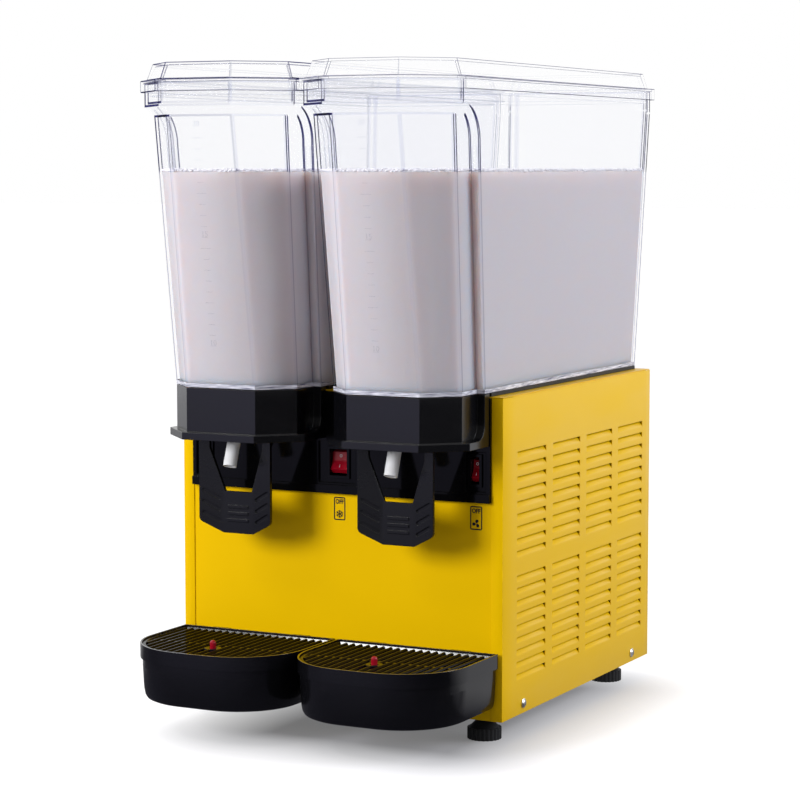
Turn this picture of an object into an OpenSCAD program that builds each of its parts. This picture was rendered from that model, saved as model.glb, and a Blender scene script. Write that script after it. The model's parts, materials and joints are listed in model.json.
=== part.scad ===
// Twin-tank cold drink dispenser for a counter top.
// Millimetres, +Z up, the taps face -Y. The origin is under the middle of the whole.
// Modules draw in the cabinet's own frame, where y = 0 is the front panel's face.

/* [Part shown] */
// One sub-part by its name, or all of them

/* [Cabinet] */
// Width over the side panels
cabinet_w = 372; // [340:0.5:410]
// Depth from the front panel's face to the rear panel's face
cabinet_d = 400; // [385:0.5:440]
// Height of the sheet-metal box
cabinet_h = 327; // [295:0.5:360]
// Height of the base over the counter
foot_h = 23; // [20:0.5:28]
// Thickness of the panels
sheet = 1; // [0.8:0.1:1.2]
// Width of the side panels' folded edges
return_w = 12.4; // [10:0.1:16]
// Height of the base's side rims
base_rim_h = 22; // [18:0.5:24]

/* [Side louvres] */
// Columns from front to rear
louvre_cols = 4; // [2:4]
// Rows from top to bottom
louvre_rows = 19; // [11:19]
// Row that is left plain, counted from the top
plain_row = 10; // [1:19]
// Length of one louvre
louvre_l = 72; // [56:0.5:80]
// Height of one louvre
louvre_h = 6; // [4:0.1:8]
// How far a louvre's upper edge is pressed in
louvre_depth = 4.4; // [3.4:0.1:5]
// Distance from one column to the next
louvre_pitch_y = 90.2; // [85:0.1:92]
// Distance from one row to the next
louvre_pitch_z = 12.66; // [11:0.01:12.9]
// Front end of the first column
louvre_y = 34.6; // [28:0.1:40]
// Top of the first row over the base
louvre_top = 270.5; // [262:0.5:285]

/* [Tanks] */
// Distance between the middles of the tanks
tank_pitch = 185; // [166:0.5:204]
// Thickness of a tank's wall
tank_wall = 3; // [2.5:0.1:4]
// Thickness of a tank's floor
tank_floor = 4; // [3:0.1:6]
// Height of a tank
tank_h = 309; // [280:1:340]
// How far each side leans in from the rim to the floor
side_taper = 7; // [4:0.5:10]
// Height of the upright rim
rim_drop = 24.5; // [20:0.5:28]
// Distance from the tank's top down to the neck of its nose
neck_drop = 32.5; // [30:0.5:40]
// Step on each side from the rim in to the nose at its neck
nose_step = 9.5; // [6:0.5:12]
// How far each side of the nose leans in from its neck to the floor
nose_taper = 6; // [3:0.5:9]
// Reach of the nose in front of the cabinet, at the floor
nose_front_low = 80.6; // [76:0.1:84]
// Reach of the nose in front of the cabinet, at its neck
nose_front_high = 119; // [110:0.5:122]
// Half the width of the nose's flat front, at the floor
nose_face_low = 40.3; // [36:0.1:44]
// Half the width of the nose's flat front, at its neck
nose_face_high = 37.5; // [34:0.5:41]
// Reach of the rim in front of the cabinet
rim_front = 128; // [124:0.5:134]
// Half the width of the rim's flat front
rim_face = 41; // [37:0.5:45]
// Overhang of the rim behind the cabinet
rim_overhang = 15; // [8:0.5:20]
// Distance from the rear panel in to the tank's foot
tank_inset = 7.5; // [5:0.5:12]
// Where the side steps in to the nose at the floor, in front of the cabinet
step_low = 15; // [10:0.5:18]
// Radius of the arch where that step meets the rim
arch_r = 38; // [32:0.5:42]
// Middle of the arch, in front of the cabinet
arch_y = 80; // [76:0.5:84]

/* [Lids] */
// Clearance between the rim and a lid's skirt
lid_lap = 1.6; // [1.2:0.1:2]
// Thickness of a lid
lid_wall = 2.4; // [2:0.1:3]
// Gap between the two lids
lid_gap = 3; // [2:0.5:6]
// Height of the raised middle
lid_rise = 17; // [12:0.5:24]
// Height of the skirt outside the rim
lid_skirt = 10; // [6:0.5:14]
// Width of the flat border
lid_ledge = 6; // [5:0.5:9]
// How far the raised middle leans in
lid_slope = 6; // [3:0.5:9]

/* [Taps] */
// Outer radius of the outlet tubes
tube_r = 6.9; // [6.6:0.05:7.2]
// Wall of the outlet tubes
tube_wall = 1.3; // [1:0.1:1.5]
// Depth of the tubes' upright stretch
tube_y = -48; // [-50:0.5:-46]
// How far forward the tubes' tips reach from there
tube_reach = 15.5; // [13:0.5:17]
// Distance from the cabinet's top down to the tubes' tips
tube_drop = 76; // [72:0.5:82]
// Lean of the tubes' lower stretch
tube_lean = 20; // [17:1:23]
// Radius of the tubes' bend
tube_bend_r = 24; // [20:1:28]
// Wall of the cowls
collar_wall = 3; // [2.5:0.1:4]
// Height of the flange round a cowl's foot
flange_h = 7.5; // [6:0.5:10]
// How far that flange stands out at the front
flange_proud = 6.5; // [4:0.5:9]
// Distance from the cabinet's top down to a cowl's foot
collar_drop = 48; // [44:0.5:52]
// Radius of the cove between a cowl's side and its flange
cove_r = 15; // [10:0.5:18]
// Half the width of a lever
lever_half = 42.2; // [40:0.1:44]
// Half the width of a lever's flat middle
lever_face_half = 17.2; // [15:0.1:19]
// Depth of that flat middle
lever_face_y = -47; // [-49:0.5:-45]
// How far the wings lean forward at their edges
lever_wing_lead = 7.5; // [5:0.5:9]
// Thickness of a lever
lever_t = 4; // [3.5:0.1:4.5]
// Distance from the cabinet's top down to a lever's lower edge
lever_drop = 147.4; // [138:0.2:156]
// How far the lower corners rise to the wings' edges
lever_corner_rise = 12.4; // [8:0.2:16]
// Distance from the cabinet's top down to the window's lower edge
window_drop = 104; // [99:0.5:107]
// Height of the window's slanting sides
window_h = 45; // [40:0.5:48]
// Half the width of the window at its lower edge
window_half_low = 15.9; // [13:0.1:18]
// Half the width of the window at its upper edge
window_half_high = 31.4; // [28:0.1:33]
// Depth of a lever's hinge
hinge_y = -27; // [-28:0.5:-25]
// Distance from the cabinet's top down to the hinge
hinge_drop = 14; // [13:0.5:16]
// Radius of the hinge pins
pin_r = 2.5; // [2:0.1:3]

/* [Controls] */
// Height of the black fascia
fascia_h = 105.4; // [98:0.2:112]
// Thickness of the fascia
fascia_t = 4; // [3.6:0.1:5]
// Depth of the pockets round the switches
pocket_depth = 2.5; // [2:0.1:3]
// Distance from the fascia's foot up to the switches
switch_lift = 32.2; // [31.4:0.2:34]
// How far the middle switch stands to the right
mid_switch_x = 1.2; // [-4:0.1:4]
// Distance from the fascia's ends in to the outer switches
switch_inset = 16.9; // [16:0.1:20]
// Height of the rockers
rocker_h = 24.6; // [22:0.2:26]
// Width of the middle rocker
rocker_w = 19.2; // [16:0.2:22]
// Width of the outer rockers
side_rocker_w = 8.6; // [7:0.1:9.4]
// Tilt of a rocker to either side
rocker_tilt = 16; // [12:0.5:17]
// Width of the bezel round a rocker
bezel_border = 3; // [2:0.1:3.4]

/* [Drip trays] */
// Gap between the two trays
tray_gap = 3.5; // [3:0.5:8]
// Reach of the trays in front of the cabinet
tray_reach = 145; // [134:0.5:160]
// Radius of the trays' front corners
tray_corner_r = 72; // [56:0.5:80]
// Top of the trays over the counter
tray_top = 93.5; // [85:0.5:101]
// Height of the trays
tray_h = 57.5; // [52:0.5:62]
// Wall of the trays
tray_wall = 2.6; // [2.2:0.1:3]
// Height of the band round a tray's top
tray_band = 15; // [10:0.5:20]
// How far the band stands out
band_proud = 2.4; // [1.4:0.1:3]
// Thickness of the rim round a grille
tray_rim_t = 1.8; // [1.4:0.1:2.4]
// Thickness of the grilles
grille_t = 4.6; // [4:0.1:5.4]
// Distance from one rib to the next
rib_pitch = 8.6; // [7.4:0.1:10]
// Width of a rib
rib_w = 4; // [3:0.1:5]
// Depth of the floats
float_y = -99; // [-106:0.5:-92]
// Radius of the floats' tips
float_tip_r = 3.2; // [2.8:0.1:4]
// Distance of the hooks from the middle of a tray
hook_x = 48; // [40:0.5:54]
// Width of the hooks
hook_w = 14; // [10:0.5:20]

/* [Works inside] */
// Radius of the cooling drums
drum_r = 48; // [42:0.5:52]
// Height of the cooling drums
drum_h = 130; // [100:1:160]
// Depth of the drums' middles
drum_y = 238; // [230:1:250]
// Depth of the mixers' middles
mixer_y = 92; // [84:1:100]
// Radius of the mixers' blades
mixer_r = 34; // [28:0.5:38]
// Radius of the mixers' magnets
magnet_r = 22; // [18:0.5:24]
// Radius of the fan
fan_r = 66; // [58:0.5:68]
// Distance from the left side in to the fan's middle
fan_inset = 107; // [104:1:112]
// Height of the fan's middle over the base
fan_rise = 114; // [108:1:124]
// Distance from the right side in to the compressor's middle
compressor_inset = 97; // [92:1:102]
// Depth of the compressor's middle
compressor_y = 150; // [142:1:160]
// Radius of the compressor's shell
compressor_r = 66; // [58:0.5:68]

/* [Hidden] */
$fn = 48;
air = 0.3;
sink = 1;
run_gap = 0.05;
spigot_gap = 0.3;
rocker_gap = 0.35;
grille_gap = 0.4;
base_z = foot_h;
top_z = foot_h + cabinet_h;
deck_z = top_z + sheet;
seat_h = 4;
tank_z = deck_z + seat_h;
floor_z = tank_z + tank_floor;
tank_top = tank_z + tank_h;
neck_z = tank_top - neck_drop;
rim_z = tank_top - rim_drop;
inner_w = cabinet_w / 2 - sheet;
lid_out = lid_lap + lid_wall;
rim_half = (tank_pitch - lid_gap) / 2 - lid_out;
rim_rear = cabinet_d + rim_overhang;
body_half_low = rim_half - side_taper;
body_rear_low = cabinet_d - tank_inset;
nose_half_high = rim_half - nose_step;
nose_half_low = nose_half_high - nose_taper;
front_reach = max(tray_reach, rim_front + lid_out);
rear_reach = max(rim_rear + lid_out, cabinet_d);
mid_y = (rear_reach - front_reach) / 2;
fascia_half = cabinet_w / 2 - return_w - air;
fascia_low = top_z - fascia_h;
switch_z = fascia_low + switch_lift;
side_switch_x = fascia_half - switch_inset;
collar_low = top_z - collar_drop;
collar_top = tank_z - air;
collar_plate = 3;
collar_plate_z = collar_top - collar_plate;
hinge_z = top_z - hinge_drop;
lever_low = top_z - lever_drop;
window_low = top_z - window_drop;
window_top = window_low + window_h;
spigot_r = tube_r - tube_wall - spigot_gap;
spigot_bore = 3.6;
tube_tip_y = tube_y - tube_reach;
tube_tip_z = top_z - tube_drop;
tube_leg = (tube_reach - tube_bend_r * (1 - cos(tube_lean))) / sin(tube_lean);
tube_bend_z = tube_tip_z + tube_leg * cos(tube_lean) + tube_bend_r * sin(tube_lean);
cheek_t = 5;
cheek_x = lever_half - cheek_t - 1;
cheek_low = top_z - 55;
lug_t = 4;
lug_x = cheek_x + cheek_t + 1;
bar_r = 3;
bar_y = tube_y + tube_r + 0.4 + bar_r;
bar_z = hinge_z - 18;
body_out = 21;
tray_half = (tank_pitch - tray_gap) / 2;
tray_z = tray_top - tray_h;
grille_z = tray_top - grille_t - 1.6;
foot_r = 17.5;
foot_front_y = 22;
foot_rear_y = cabinet_d - 52;
foot_x = cabinet_w / 2 - 30;
stud_r = 4;
nut_h = 7;
base_t = 1.2;
floor_in = base_z + base_t;
fan_x = fan_inset - inner_w;
fan_z = base_z + fan_rise;
compressor_x = inner_w - compressor_inset;

// Shared shapes

module place() {
    translate([0, -mid_y, 0]) children();
}

module at_tank(side) {
    translate([side * tank_pitch / 2, 0, 0]) children();
}

// Extrudes a drawing of depth against height across the width.
module across(width) {
    translate([-width / 2, 0, 0]) rotate([90, 0, 90]) linear_extrude(width) children();
}

// Extrudes a drawing of width against height along the depth, from y towards the rear.
module along(y, depth) {
    translate([0, y + depth, 0]) rotate([90, 0, 0]) linear_extrude(depth) children();
}

// Plan of a tank: straight sides, a front cut at 45 degrees and small cuts at the rear.
function plan(half, face, front, rear, cut = 6) = [
    [-half + cut, rear],
    [-half, rear - cut],
    [-half, -front + half - face],
    [-face, -front],
    [face, -front],
    [half, -front + half - face],
    [half, rear - cut],
    [half - cut, rear]
];

// The same plan moved in by d on every side.
function plan_in(half, face, front, rear, d) =
    plan(half - d, face - d * tan(22.5), front - d, rear - d, 6);

module loft(low, high, z0, z1) {
    n = len(low);
    polyhedron(
        points = concat([for (p = low) [p[0], p[1], z0]], [for (p = high) [p[0], p[1], z1]]),
        faces = concat(
            [[for (i = [0:n - 1]) i]],
            [[for (i = [n - 1:-1:0]) n + i]],
            [for (i = [0:n - 1]) [i, n + i, n + (i + 1) % n, (i + 1) % n]]
        )
    );
}

module ring(r_out, r_in, z0, z1) {
    translate([0, 0, z0]) difference() {
        cylinder(r = r_out, h = z1 - z0);
        translate([0, 0, -sink]) cylinder(r = r_in, h = z1 - z0 + 2 * sink);
    }
}

// Sheet-metal cabinet

module base_plate() {
    color("silver") difference() {
        union() {
            translate([-inner_w, sheet, base_z]) cube([2 * inner_w, cabinet_d - 2 * sheet, base_t]);
            for (s = [-1, 1])
                translate([s * (inner_w - base_t / 2) - base_t / 2, sheet, base_z])
                    cube([base_t, cabinet_d - 2 * sheet, base_rim_h]);
            at_feet() translate([0, 0, floor_in]) cylinder(r = 8, h = nut_h, $fn = 6);
        }
        at_feet() translate([0, 0, base_z - sink])
            cylinder(r = stud_r + run_gap, h = base_t + nut_h + 2 * sink);
        at_mounts() translate([0, 0, base_z - sink]) cylinder(r = mount_bolt_r + air,
            h = base_t + 2 * sink);
        for (p = side_screws)
            for (s = [-1, 1])
                translate([s * inner_w, p[0], p[1]]) rotate([0, 90, 0])
                    cylinder(r = screw_r + run_gap, h = 4 * base_t, center = true);
        for (i = [0:5])
            translate([-150 + 26 * i, 200, base_z - sink]) cube([14, 90, base_t + 2 * sink]);
    }
}

module at_feet() {
    for (x = [-foot_x, foot_x])
        for (y = [foot_front_y, foot_rear_y])
            translate([x, y, 0]) children();
}

mount_dx = 74;
mount_dy = 56;
mount_bolt_r = 4;

module at_mounts() {
    for (x = [-mount_dx, mount_dx])
        for (y = [-mount_dy, mount_dy])
            translate([compressor_x + x, compressor_y + y, 0]) children();
}

screw_r = 2;
side_screws = [[50.7, foot_h + 10.4], [349.2, foot_h + 10.4]];

module switch_openings(grow, depth, y) {
    for (x = [-side_switch_x, mid_switch_x, side_switch_x])
        translate([x, 0, switch_z])
            translate([-body_w(x) / 2 - grow, y, -body_out / 2 - 3.5 - grow])
                cube([body_w(x) + 2 * grow, depth, body_out + 7 + 2 * grow]);
}

function rocker_wide(x) = x == mid_switch_x ? rocker_w : side_rocker_w;
function body_w(x) = rocker_wide(x) + 2 * rocker_gap + 2.8;

module front_panel() {
    color("gold") {
        difference() {
            translate([-inner_w, 0, base_z]) cube([2 * inner_w, sheet, cabinet_h]);
            switch_openings(0.5, 3 * sheet, -sheet);
        }
        for (s = [-1, 1])
            at_tank(s) for (x = [-hook_x, hook_x]) translate([x, 0, 0]) tray_hook();
    }
}

hook_gap = 2.7;
hook_t = 1.4;
hook_low = tray_z + 16;
hook_high = tray_top - 9;

// Bent tab on the front panel, which the lip behind a drip tray drops over.
module tray_hook() {
    across(hook_w) polygon([
        [0, hook_low],
        [0, hook_low + hook_t],
        [-hook_gap, hook_low + hook_t],
        [-hook_gap, hook_high],
        [-hook_gap - hook_t, hook_high],
        [-hook_gap - hook_t, hook_low]
    ]);
}

// Tongue pressed inward: it leaves the panel at its lower edge and leans in as it rises.
module louvre(wall) {
    across_y(louvre_l) polygon([[0, 0], [wall, 0], [wall + louvre_depth, louvre_h],
        [louvre_depth, louvre_h]]);
    for (y = [0, louvre_l - wall])
        translate([0, y, 0]) across_y(wall) polygon([[0, 0], [wall + louvre_depth, louvre_h],
            [0, louvre_h]]);
}

// Extrudes a drawing of distance inward (+X) against height along the depth.
module across_y(length) {
    translate([0, length, 0]) rotate([90, 0, 0]) linear_extrude(length) children();
}

module at_louvres() {
    for (c = [0:louvre_cols - 1])
        for (r = [0:louvre_rows - 1])
            if (r != plain_row - 1)
                translate([0, louvre_y + c * louvre_pitch_y,
                    foot_h + louvre_top - r * louvre_pitch_z - louvre_h])
                    children();
}

// Drawn as the left panel: the outer face is at x = 0 and the cabinet lies towards +X.
module side_panel() {
    union() {
        difference() {
            translate([0, -sheet, base_z]) cube([sheet, cabinet_d + sheet, cabinet_h]);
            at_louvres() translate([-sheet, 0, 0]) cube([3 * sheet, louvre_l, louvre_h]);
            for (p = side_screws)
                translate([0, p[0], p[1]]) rotate([0, 90, 0])
                    cylinder(r = screw_r + run_gap, h = 4 * sheet, center = true);
        }
        at_louvres() louvre(sheet);
        translate([sheet, -sheet, base_z]) cube([return_w - sheet, sheet, cabinet_h]);
        translate([sheet, cabinet_d - 2 * sheet, base_z + base_rim_h + sink])
            cube([return_w - sheet, sheet, cabinet_h - base_rim_h - sink]);
        translate([sheet, sheet, top_z - sheet]) cube([return_w - sheet, cabinet_d - 3 * sheet, sheet]);
    }
}

module side_panel_left() {
    color("gold") translate([-cabinet_w / 2, 0, 0]) side_panel();
}

module side_panel_right() {
    color("gold") mirror([1, 0, 0]) translate([-cabinet_w / 2, 0, 0]) side_panel();
}

gland_x = cabinet_w / 2 - 46;
gland_z = foot_h + 52;
gland_r = 8;

module rear_panel() {
    color("gold") difference() {
        translate([-inner_w, cabinet_d - sheet, base_z]) cube([2 * inner_w, sheet, cabinet_h - sheet]);
        for (c = [0:2])
            for (r = [0:13])
                translate([fan_x - 72 + 50 * c, cabinet_d - 2 * sheet, fan_z - 76 + 11 * r])
                    cube([44, 3 * sheet, 5]);
        translate([gland_x, cabinet_d - 2 * sheet, gland_z]) rotate([-90, 0, 0])
            cylinder(r = gland_r, h = 3 * sheet);
    }
}

line_r = 4;

module top_deck() {
    color("gold") difference() {
        translate([-inner_w, 0, top_z]) cube([2 * inner_w, cabinet_d, sheet]);
        for (s = [-1, 1])
            at_tank(s) translate([0, drum_y, top_z - sink]) cylinder(r = 26, h = sheet + 2 * sink);
    }
}

// Control fascia and switches

module control_fascia() {
    color("black") difference() {
        union() {
            translate([-fascia_half, -fascia_t, fascia_low])
                cube([2 * fascia_half, fascia_t, top_z - fascia_low]);
            translate([-fascia_half, -fascia_t - 2, fascia_low]) cube([2 * fascia_half, 2, 9]);
        }
        translate([-21.5, -fascia_t - 4, fascia_low + 11]) cube([43, pocket_depth + 4, 43]);
        for (s = [-1, 1])
            translate([s * (side_switch_x + 1.2) - 11, -fascia_t - 4, fascia_low + 11])
                cube([22, pocket_depth + 4, 40]);
        switch_openings(0.3, 3 * fascia_t, -2 * fascia_t);
    }
}

pocket_y = -fascia_t + pocket_depth;
body_depth = 24;
rocker_axis_y = 6;
rocker_reach = 5.4;
rocker_end = 3.2;
window_half = rocker_h / 2 + 1.3;

module switch_body(x) {
    wide = rocker_wide(x) + 2 * rocker_gap;
    color("black") translate([x, 0, switch_z]) difference() {
        union() {
            translate([-wide / 2 - bezel_border, pocket_y - 2, -window_half - bezel_border])
                cube([wide + 2 * bezel_border, 2, 2 * window_half + 2 * bezel_border]);
            translate([-body_w(x) / 2, pocket_y - 1, -window_half - 0.4])
                cube([body_w(x), body_depth + 1, 2 * window_half + 0.8]);
            for (z = [-7, 7])
                translate([-3, pocket_y + body_depth - 1, z - 0.5]) cube([6, 9, 1]);
        }
        translate([-wide / 2, pocket_y - 4, -window_half]) cube([wide, 22, 2 * window_half]);
        translate([0, rocker_axis_y, 0]) rotate([0, 90, 0])
            cylinder(r = axle_r + run_gap, h = wide + 2 * axle_out, center = true);
    }
}

axle_r = 1.5;
axle_out = 0.9;

// Rocker pressed at the top, so its lower half stands out.
module rocker(x) {
    wide = rocker_wide(x);
    color("red") translate([x, rocker_axis_y, switch_z]) rotate([-rocker_tilt, 0, 0]) {
        across(wide) polygon([
            [-rocker_reach, rocker_h / 2 - rocker_end],
            [-rocker_reach + 1.6, 1],
            [-rocker_reach + 1.6, -1],
            [-rocker_reach, -rocker_h / 2 + rocker_end],
            [-rocker_reach + 4.5, -rocker_h / 2],
            [3.6, -5],
            [3.6, 5],
            [-rocker_reach + 4.5, rocker_h / 2]
        ]);
        rotate([0, 90, 0]) cylinder(r = axle_r, h = wide + 2 * rocker_gap + 2 * axle_out - 0.4,
            center = true);
    }
}

module switch_body_left() {
    switch_body(-side_switch_x);
}

module switch_body_centre() {
    switch_body(mid_switch_x);
}

module switch_body_right() {
    switch_body(side_switch_x);
}

module rocker_left() {
    rocker(-side_switch_x);
}

module rocker_centre() {
    rocker(mid_switch_x);
}

module rocker_right() {
    rocker(side_switch_x);
}

// Cowls over the taps

flange_half = body_half_low;
flange_top = collar_low + flange_h;

module collar(side) {
    color("black") at_tank(side) difference() {
        union() {
            difference() {
                collar_outside();
                translate([0, 0, collar_low - sink]) linear_extrude(collar_plate_z - collar_low + sink)
                    polygon(plan(nose_half_low - collar_wall, nose_face_low - collar_wall * tan(22.5),
                        nose_front_low - collar_wall, 10, 1));
            }
            for (s = [-1, 1])
                translate([s * (lug_x + lug_t / 2) - lug_t / 2, hinge_y - 6, hinge_z - 7])
                    cube([lug_t, 12, collar_plate_z - hinge_z + 7 + sink / 2]);
            translate([-10, tube_y - tube_r - 3.4, tube_bend_z + 2])
                cube([20, 3, collar_plate_z - tube_bend_z - 2 + sink / 2]);
        }
        translate([0, tube_y, collar_plate_z - sink]) cylinder(r = 8, h = collar_plate + 2 * sink);
        translate([0, hinge_y, hinge_z]) rotate([0, 90, 0])
            cylinder(r = pin_r + run_gap, h = 2 * (lug_x + lug_t) + 2, center = true);
        translate([-100, -fascia_t, collar_low - 10]) cube([200, 100, 100]);
    }
}

module collar_outside() {
    translate([0, 0, collar_low]) linear_extrude(collar_top - collar_low)
        polygon(plan(nose_half_low, nose_face_low, nose_front_low, 10, 1));
    translate([0, 0, collar_low]) linear_extrude(flange_h)
        polygon(plan(flange_half, nose_face_low + 2, nose_front_low + flange_proud, 10, 1));
    across(2 * flange_half) difference() {
        union() {
            translate([-step_low, collar_low]) square([step_low, collar_top - collar_low]);
            translate([-step_low - cove_r, flange_top - sink / 2])
                square([cove_r + sink, cove_r + sink / 2]);
        }
        translate([-step_low - cove_r, flange_top + cove_r]) circle(r = cove_r);
    }
}

module collar_left() {
    collar(-1);
}

module collar_right() {
    collar(1);
}

// Tap levers: a cup pushes the pad back, and the bar behind the tube lets the tube open

module lever(side) {
    bar_len = 2 * cheek_x + 2;
    color("black") at_tank(side) difference() {
        union() {
            intersection() {
                translate([0, 0, lever_low]) linear_extrude(hinge_z - lever_low) lever_plan();
                along(-100, 100) lever_front();
            }
            for (s = [-1, 1])
                translate([s * (cheek_x + cheek_t / 2), 0, 0]) across(cheek_t) lever_cheek();
            translate([0, bar_y, bar_z]) rotate([0, 90, 0]) cylinder(r = bar_r, h = bar_len,
                center = true);
            for (i = [-1:1])
                translate([-12, lever_face_y - 0.9, lever_low + 19 + 7 * i]) cube([24, 1.3, 3.2]);
        }
        translate([0, hinge_y, hinge_z]) rotate([0, 90, 0])
            cylinder(r = pin_r + run_gap, h = 120, center = true);
        for (s = [-1, 1])
            for (i = [0:2])
                wing_frame(s) translate([13.1, 1.2, lever_low + 16.7 + 11.7 * i]) rotate([90, -28, 0])
                    linear_extrude(3) slot(21.3, 3.4);
    }
}

// Groove with round ends, drawn flat.
module slot(length, wide) {
    translate([(wide - length) / 2, -wide / 2]) square([length - wide, wide]);
    for (s = [-1, 1]) translate([s * (length - wide) / 2, 0]) circle(r = wide / 2, $fn = 20);
}

wing_angle = atan(lever_wing_lead / (lever_half - lever_face_half));

// Frame on the front of a wing: +X runs outward along it and y = 0 is its face.
module wing_frame(side) {
    mirror([side < 0 ? 1 : 0, 0, 0]) translate([lever_face_half, lever_face_y, 0])
        rotate([0, 0, -wing_angle]) children();
}

module lever_plan() {
    lead = lever_wing_lead;
    polygon([
        [-lever_half, lever_face_y - lead],
        [-lever_face_half, lever_face_y],
        [lever_face_half, lever_face_y],
        [lever_half, lever_face_y - lead],
        [lever_half, lever_face_y - lead + lever_t],
        [lever_face_half - 0.6, lever_face_y + lever_t],
        [-lever_face_half + 0.6, lever_face_y + lever_t],
        [-lever_half, lever_face_y - lead + lever_t]
    ]);
}

module lever_front() {
    difference() {
        polygon([
            [-lever_face_half, lever_low],
            [lever_face_half, lever_low],
            [lever_half - 3.4, lever_low + lever_corner_rise - 1.7],
            [lever_half - 1.2, lever_low + lever_corner_rise],
            [lever_half, lever_low + lever_corner_rise + 3],
            [lever_half, cheek_low + 10],
            [-lever_half, cheek_low + 10],
            [-lever_half, lever_low + lever_corner_rise + 3],
            [1.2 - lever_half, lever_low + lever_corner_rise],
            [3.4 - lever_half, lever_low + lever_corner_rise - 1.7]
        ]);
        polygon([
            [-window_half_low, window_low],
            [window_half_low, window_low],
            [window_half_high, window_top],
            [window_half_high, cheek_low + 20],
            [-window_half_high, cheek_low + 20],
            [-window_half_high, window_top]
        ]);
    }
}

module lever_cheek() {
    front = lever_face_y - lever_wing_lead + 2;
    polygon([
        [front, cheek_low],
        [front + 4, cheek_low],
        [bar_y + 6, bar_z - 8],
        [hinge_y + 7, hinge_z - 4],
        [hinge_y + 5, hinge_z + 6],
        [hinge_y - 5, hinge_z + 6],
        [bar_y - 3, bar_z + 6],
        [front, cheek_low + 12]
    ]);
}

module tap_lever_left() {
    lever(-1);
}

module tap_lever_right() {
    lever(1);
}

module lever_pin(side) {
    color("silver") at_tank(side) translate([0, hinge_y, hinge_z]) rotate([0, 90, 0]) {
        cylinder(r = pin_r, h = 2 * (lug_x + lug_t), center = true);
        for (s = [-1, 1])
            translate([0, 0, s * (lug_x + lug_t + 0.75)]) cylinder(r = 4, h = 1.5, center = true);
    }
}

module lever_pin_left() {
    lever_pin(-1);
}

module lever_pin_right() {
    lever_pin(1);
}

spring_wire = 0.7;
spring_r = pin_r + 1 + spring_wire;
spring_turns = 5;
spring_pitch = 2 * spring_wire + 0.4;
spring_x = 16;

// Points along the wire: a leg up to the cowl, the coil round the pin and a leg behind the lever's bar.
function spring_path() = concat(
    [[spring_x, -spring_r, collar_plate_z - hinge_z]],
    [for (i = [0:spring_turns * 12])
        [spring_x + spring_pitch * i / 12, spring_r * cos(180 + 30 * i), spring_r * sin(180 + 30 * i)]],
    [[spring_x + spring_pitch * spring_turns, bar_y - hinge_y + bar_r + spring_wire + 0.1,
        bar_z - hinge_z - 2]]
);

module lever_spring(side) {
    path = spring_path();
    n = len(path);
    k = 6;
    function way(i) = path[min(i + 1, n - 1)] - path[max(i - 1, 0)];
    function unit(v) = v / norm(v);
    function side_of(i) = unit(cross(way(i), abs(unit(way(i))[0]) < 0.9 ? [1, 0, 0] : [0, 1, 0]));
    function up_of(i) = unit(cross(side_of(i), way(i)));
    color("silver") at_tank(side) translate([0, hinge_y, hinge_z]) polyhedron(
        points = [for (i = [0:n - 1]) for (j = [0:k - 1])
            path[i] + spring_wire * (cos(360 * j / k) * side_of(i) + sin(360 * j / k) * up_of(i))],
        faces = concat(
            [[for (j = [0:k - 1]) j]],
            [[for (j = [k - 1:-1:0]) (n - 1) * k + j]],
            [for (i = [0:n - 2]) for (j = [0:k - 1])
                [i * k + j, (i + 1) * k + j, (i + 1) * k + (j + 1) % k, i * k + (j + 1) % k]]
        )
    );
}

module lever_spring_left() {
    lever_spring(-1);
}

module lever_spring_right() {
    lever_spring(1);
}

tube_sides = 32;
tube_steps = 6;

// Centres of the tube's rings as depth, height and lean: straight down, then bent forward.
function tube_rings() = concat(
    [[tube_y, collar_plate_z, 0]],
    [for (i = [0:tube_steps]) let (a = tube_lean * i / tube_steps)
        [tube_y - tube_bend_r * (1 - cos(a)), tube_bend_z - tube_bend_r * sin(a), a]],
    [[tube_tip_y, tube_tip_z, tube_lean]]
);

function ring_points(ring, r) = [for (j = [0:tube_sides - 1]) let (a = 360 * j / tube_sides)
    [r * cos(a), ring[0] + r * sin(a) * cos(ring[2]), ring[1] - r * sin(a) * sin(ring[2])]];

module tube_wall_form() {
    rings = tube_rings();
    n = len(rings);
    k = tube_sides;
    m = n * k;
    polyhedron(
        points = concat(
            [for (ring = rings) each ring_points(ring, tube_r)],
            [for (ring = rings) each ring_points(ring, tube_r - tube_wall)]
        ),
        faces = concat(
            [for (i = [0:n - 2]) for (j = [0:k - 1]) let (q = (j + 1) % k)
                [i * k + j, i * k + q, (i + 1) * k + q, (i + 1) * k + j]],
            [for (i = [0:n - 2]) for (j = [0:k - 1]) let (q = (j + 1) % k)
                [m + i * k + j, m + (i + 1) * k + j, m + (i + 1) * k + q, m + i * k + q]],
            [for (j = [0:k - 1]) let (q = (j + 1) % k) [q, j, m + j, m + q]],
            [for (j = [0:k - 1]) let (q = (j + 1) % k) [m - k + j, m - k + q, 2 * m - k + q,
                2 * m - k + j]]
        )
    );
}

// Soft tube with a lip held under the cowl's top.
module outlet_tube(side) {
    color("white") at_tank(side) {
        tube_wall_form();
        translate([0, tube_y, collar_plate_z - 2.4]) linear_extrude(2.4) difference() {
            translate([-12, -tube_r + 0.6]) square([24, tube_r + 11]);
            circle(r = tube_r - tube_wall / 2);
        }
    }
}

module outlet_tube_left() {
    outlet_tube(-1);
}

module outlet_tube_right() {
    outlet_tube(1);
}

// Tanks and lids

module tank_seat(side) {
    color("black") at_tank(side) difference() {
        translate([-body_half_low + 1, 3, deck_z])
            cube([2 * body_half_low - 2, body_rear_low - 5, seat_h]);
        translate([-body_half_low + 11, 13, deck_z - sink])
            cube([2 * body_half_low - 22, body_rear_low - 25, seat_h + 2 * sink]);
    }
}

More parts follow.
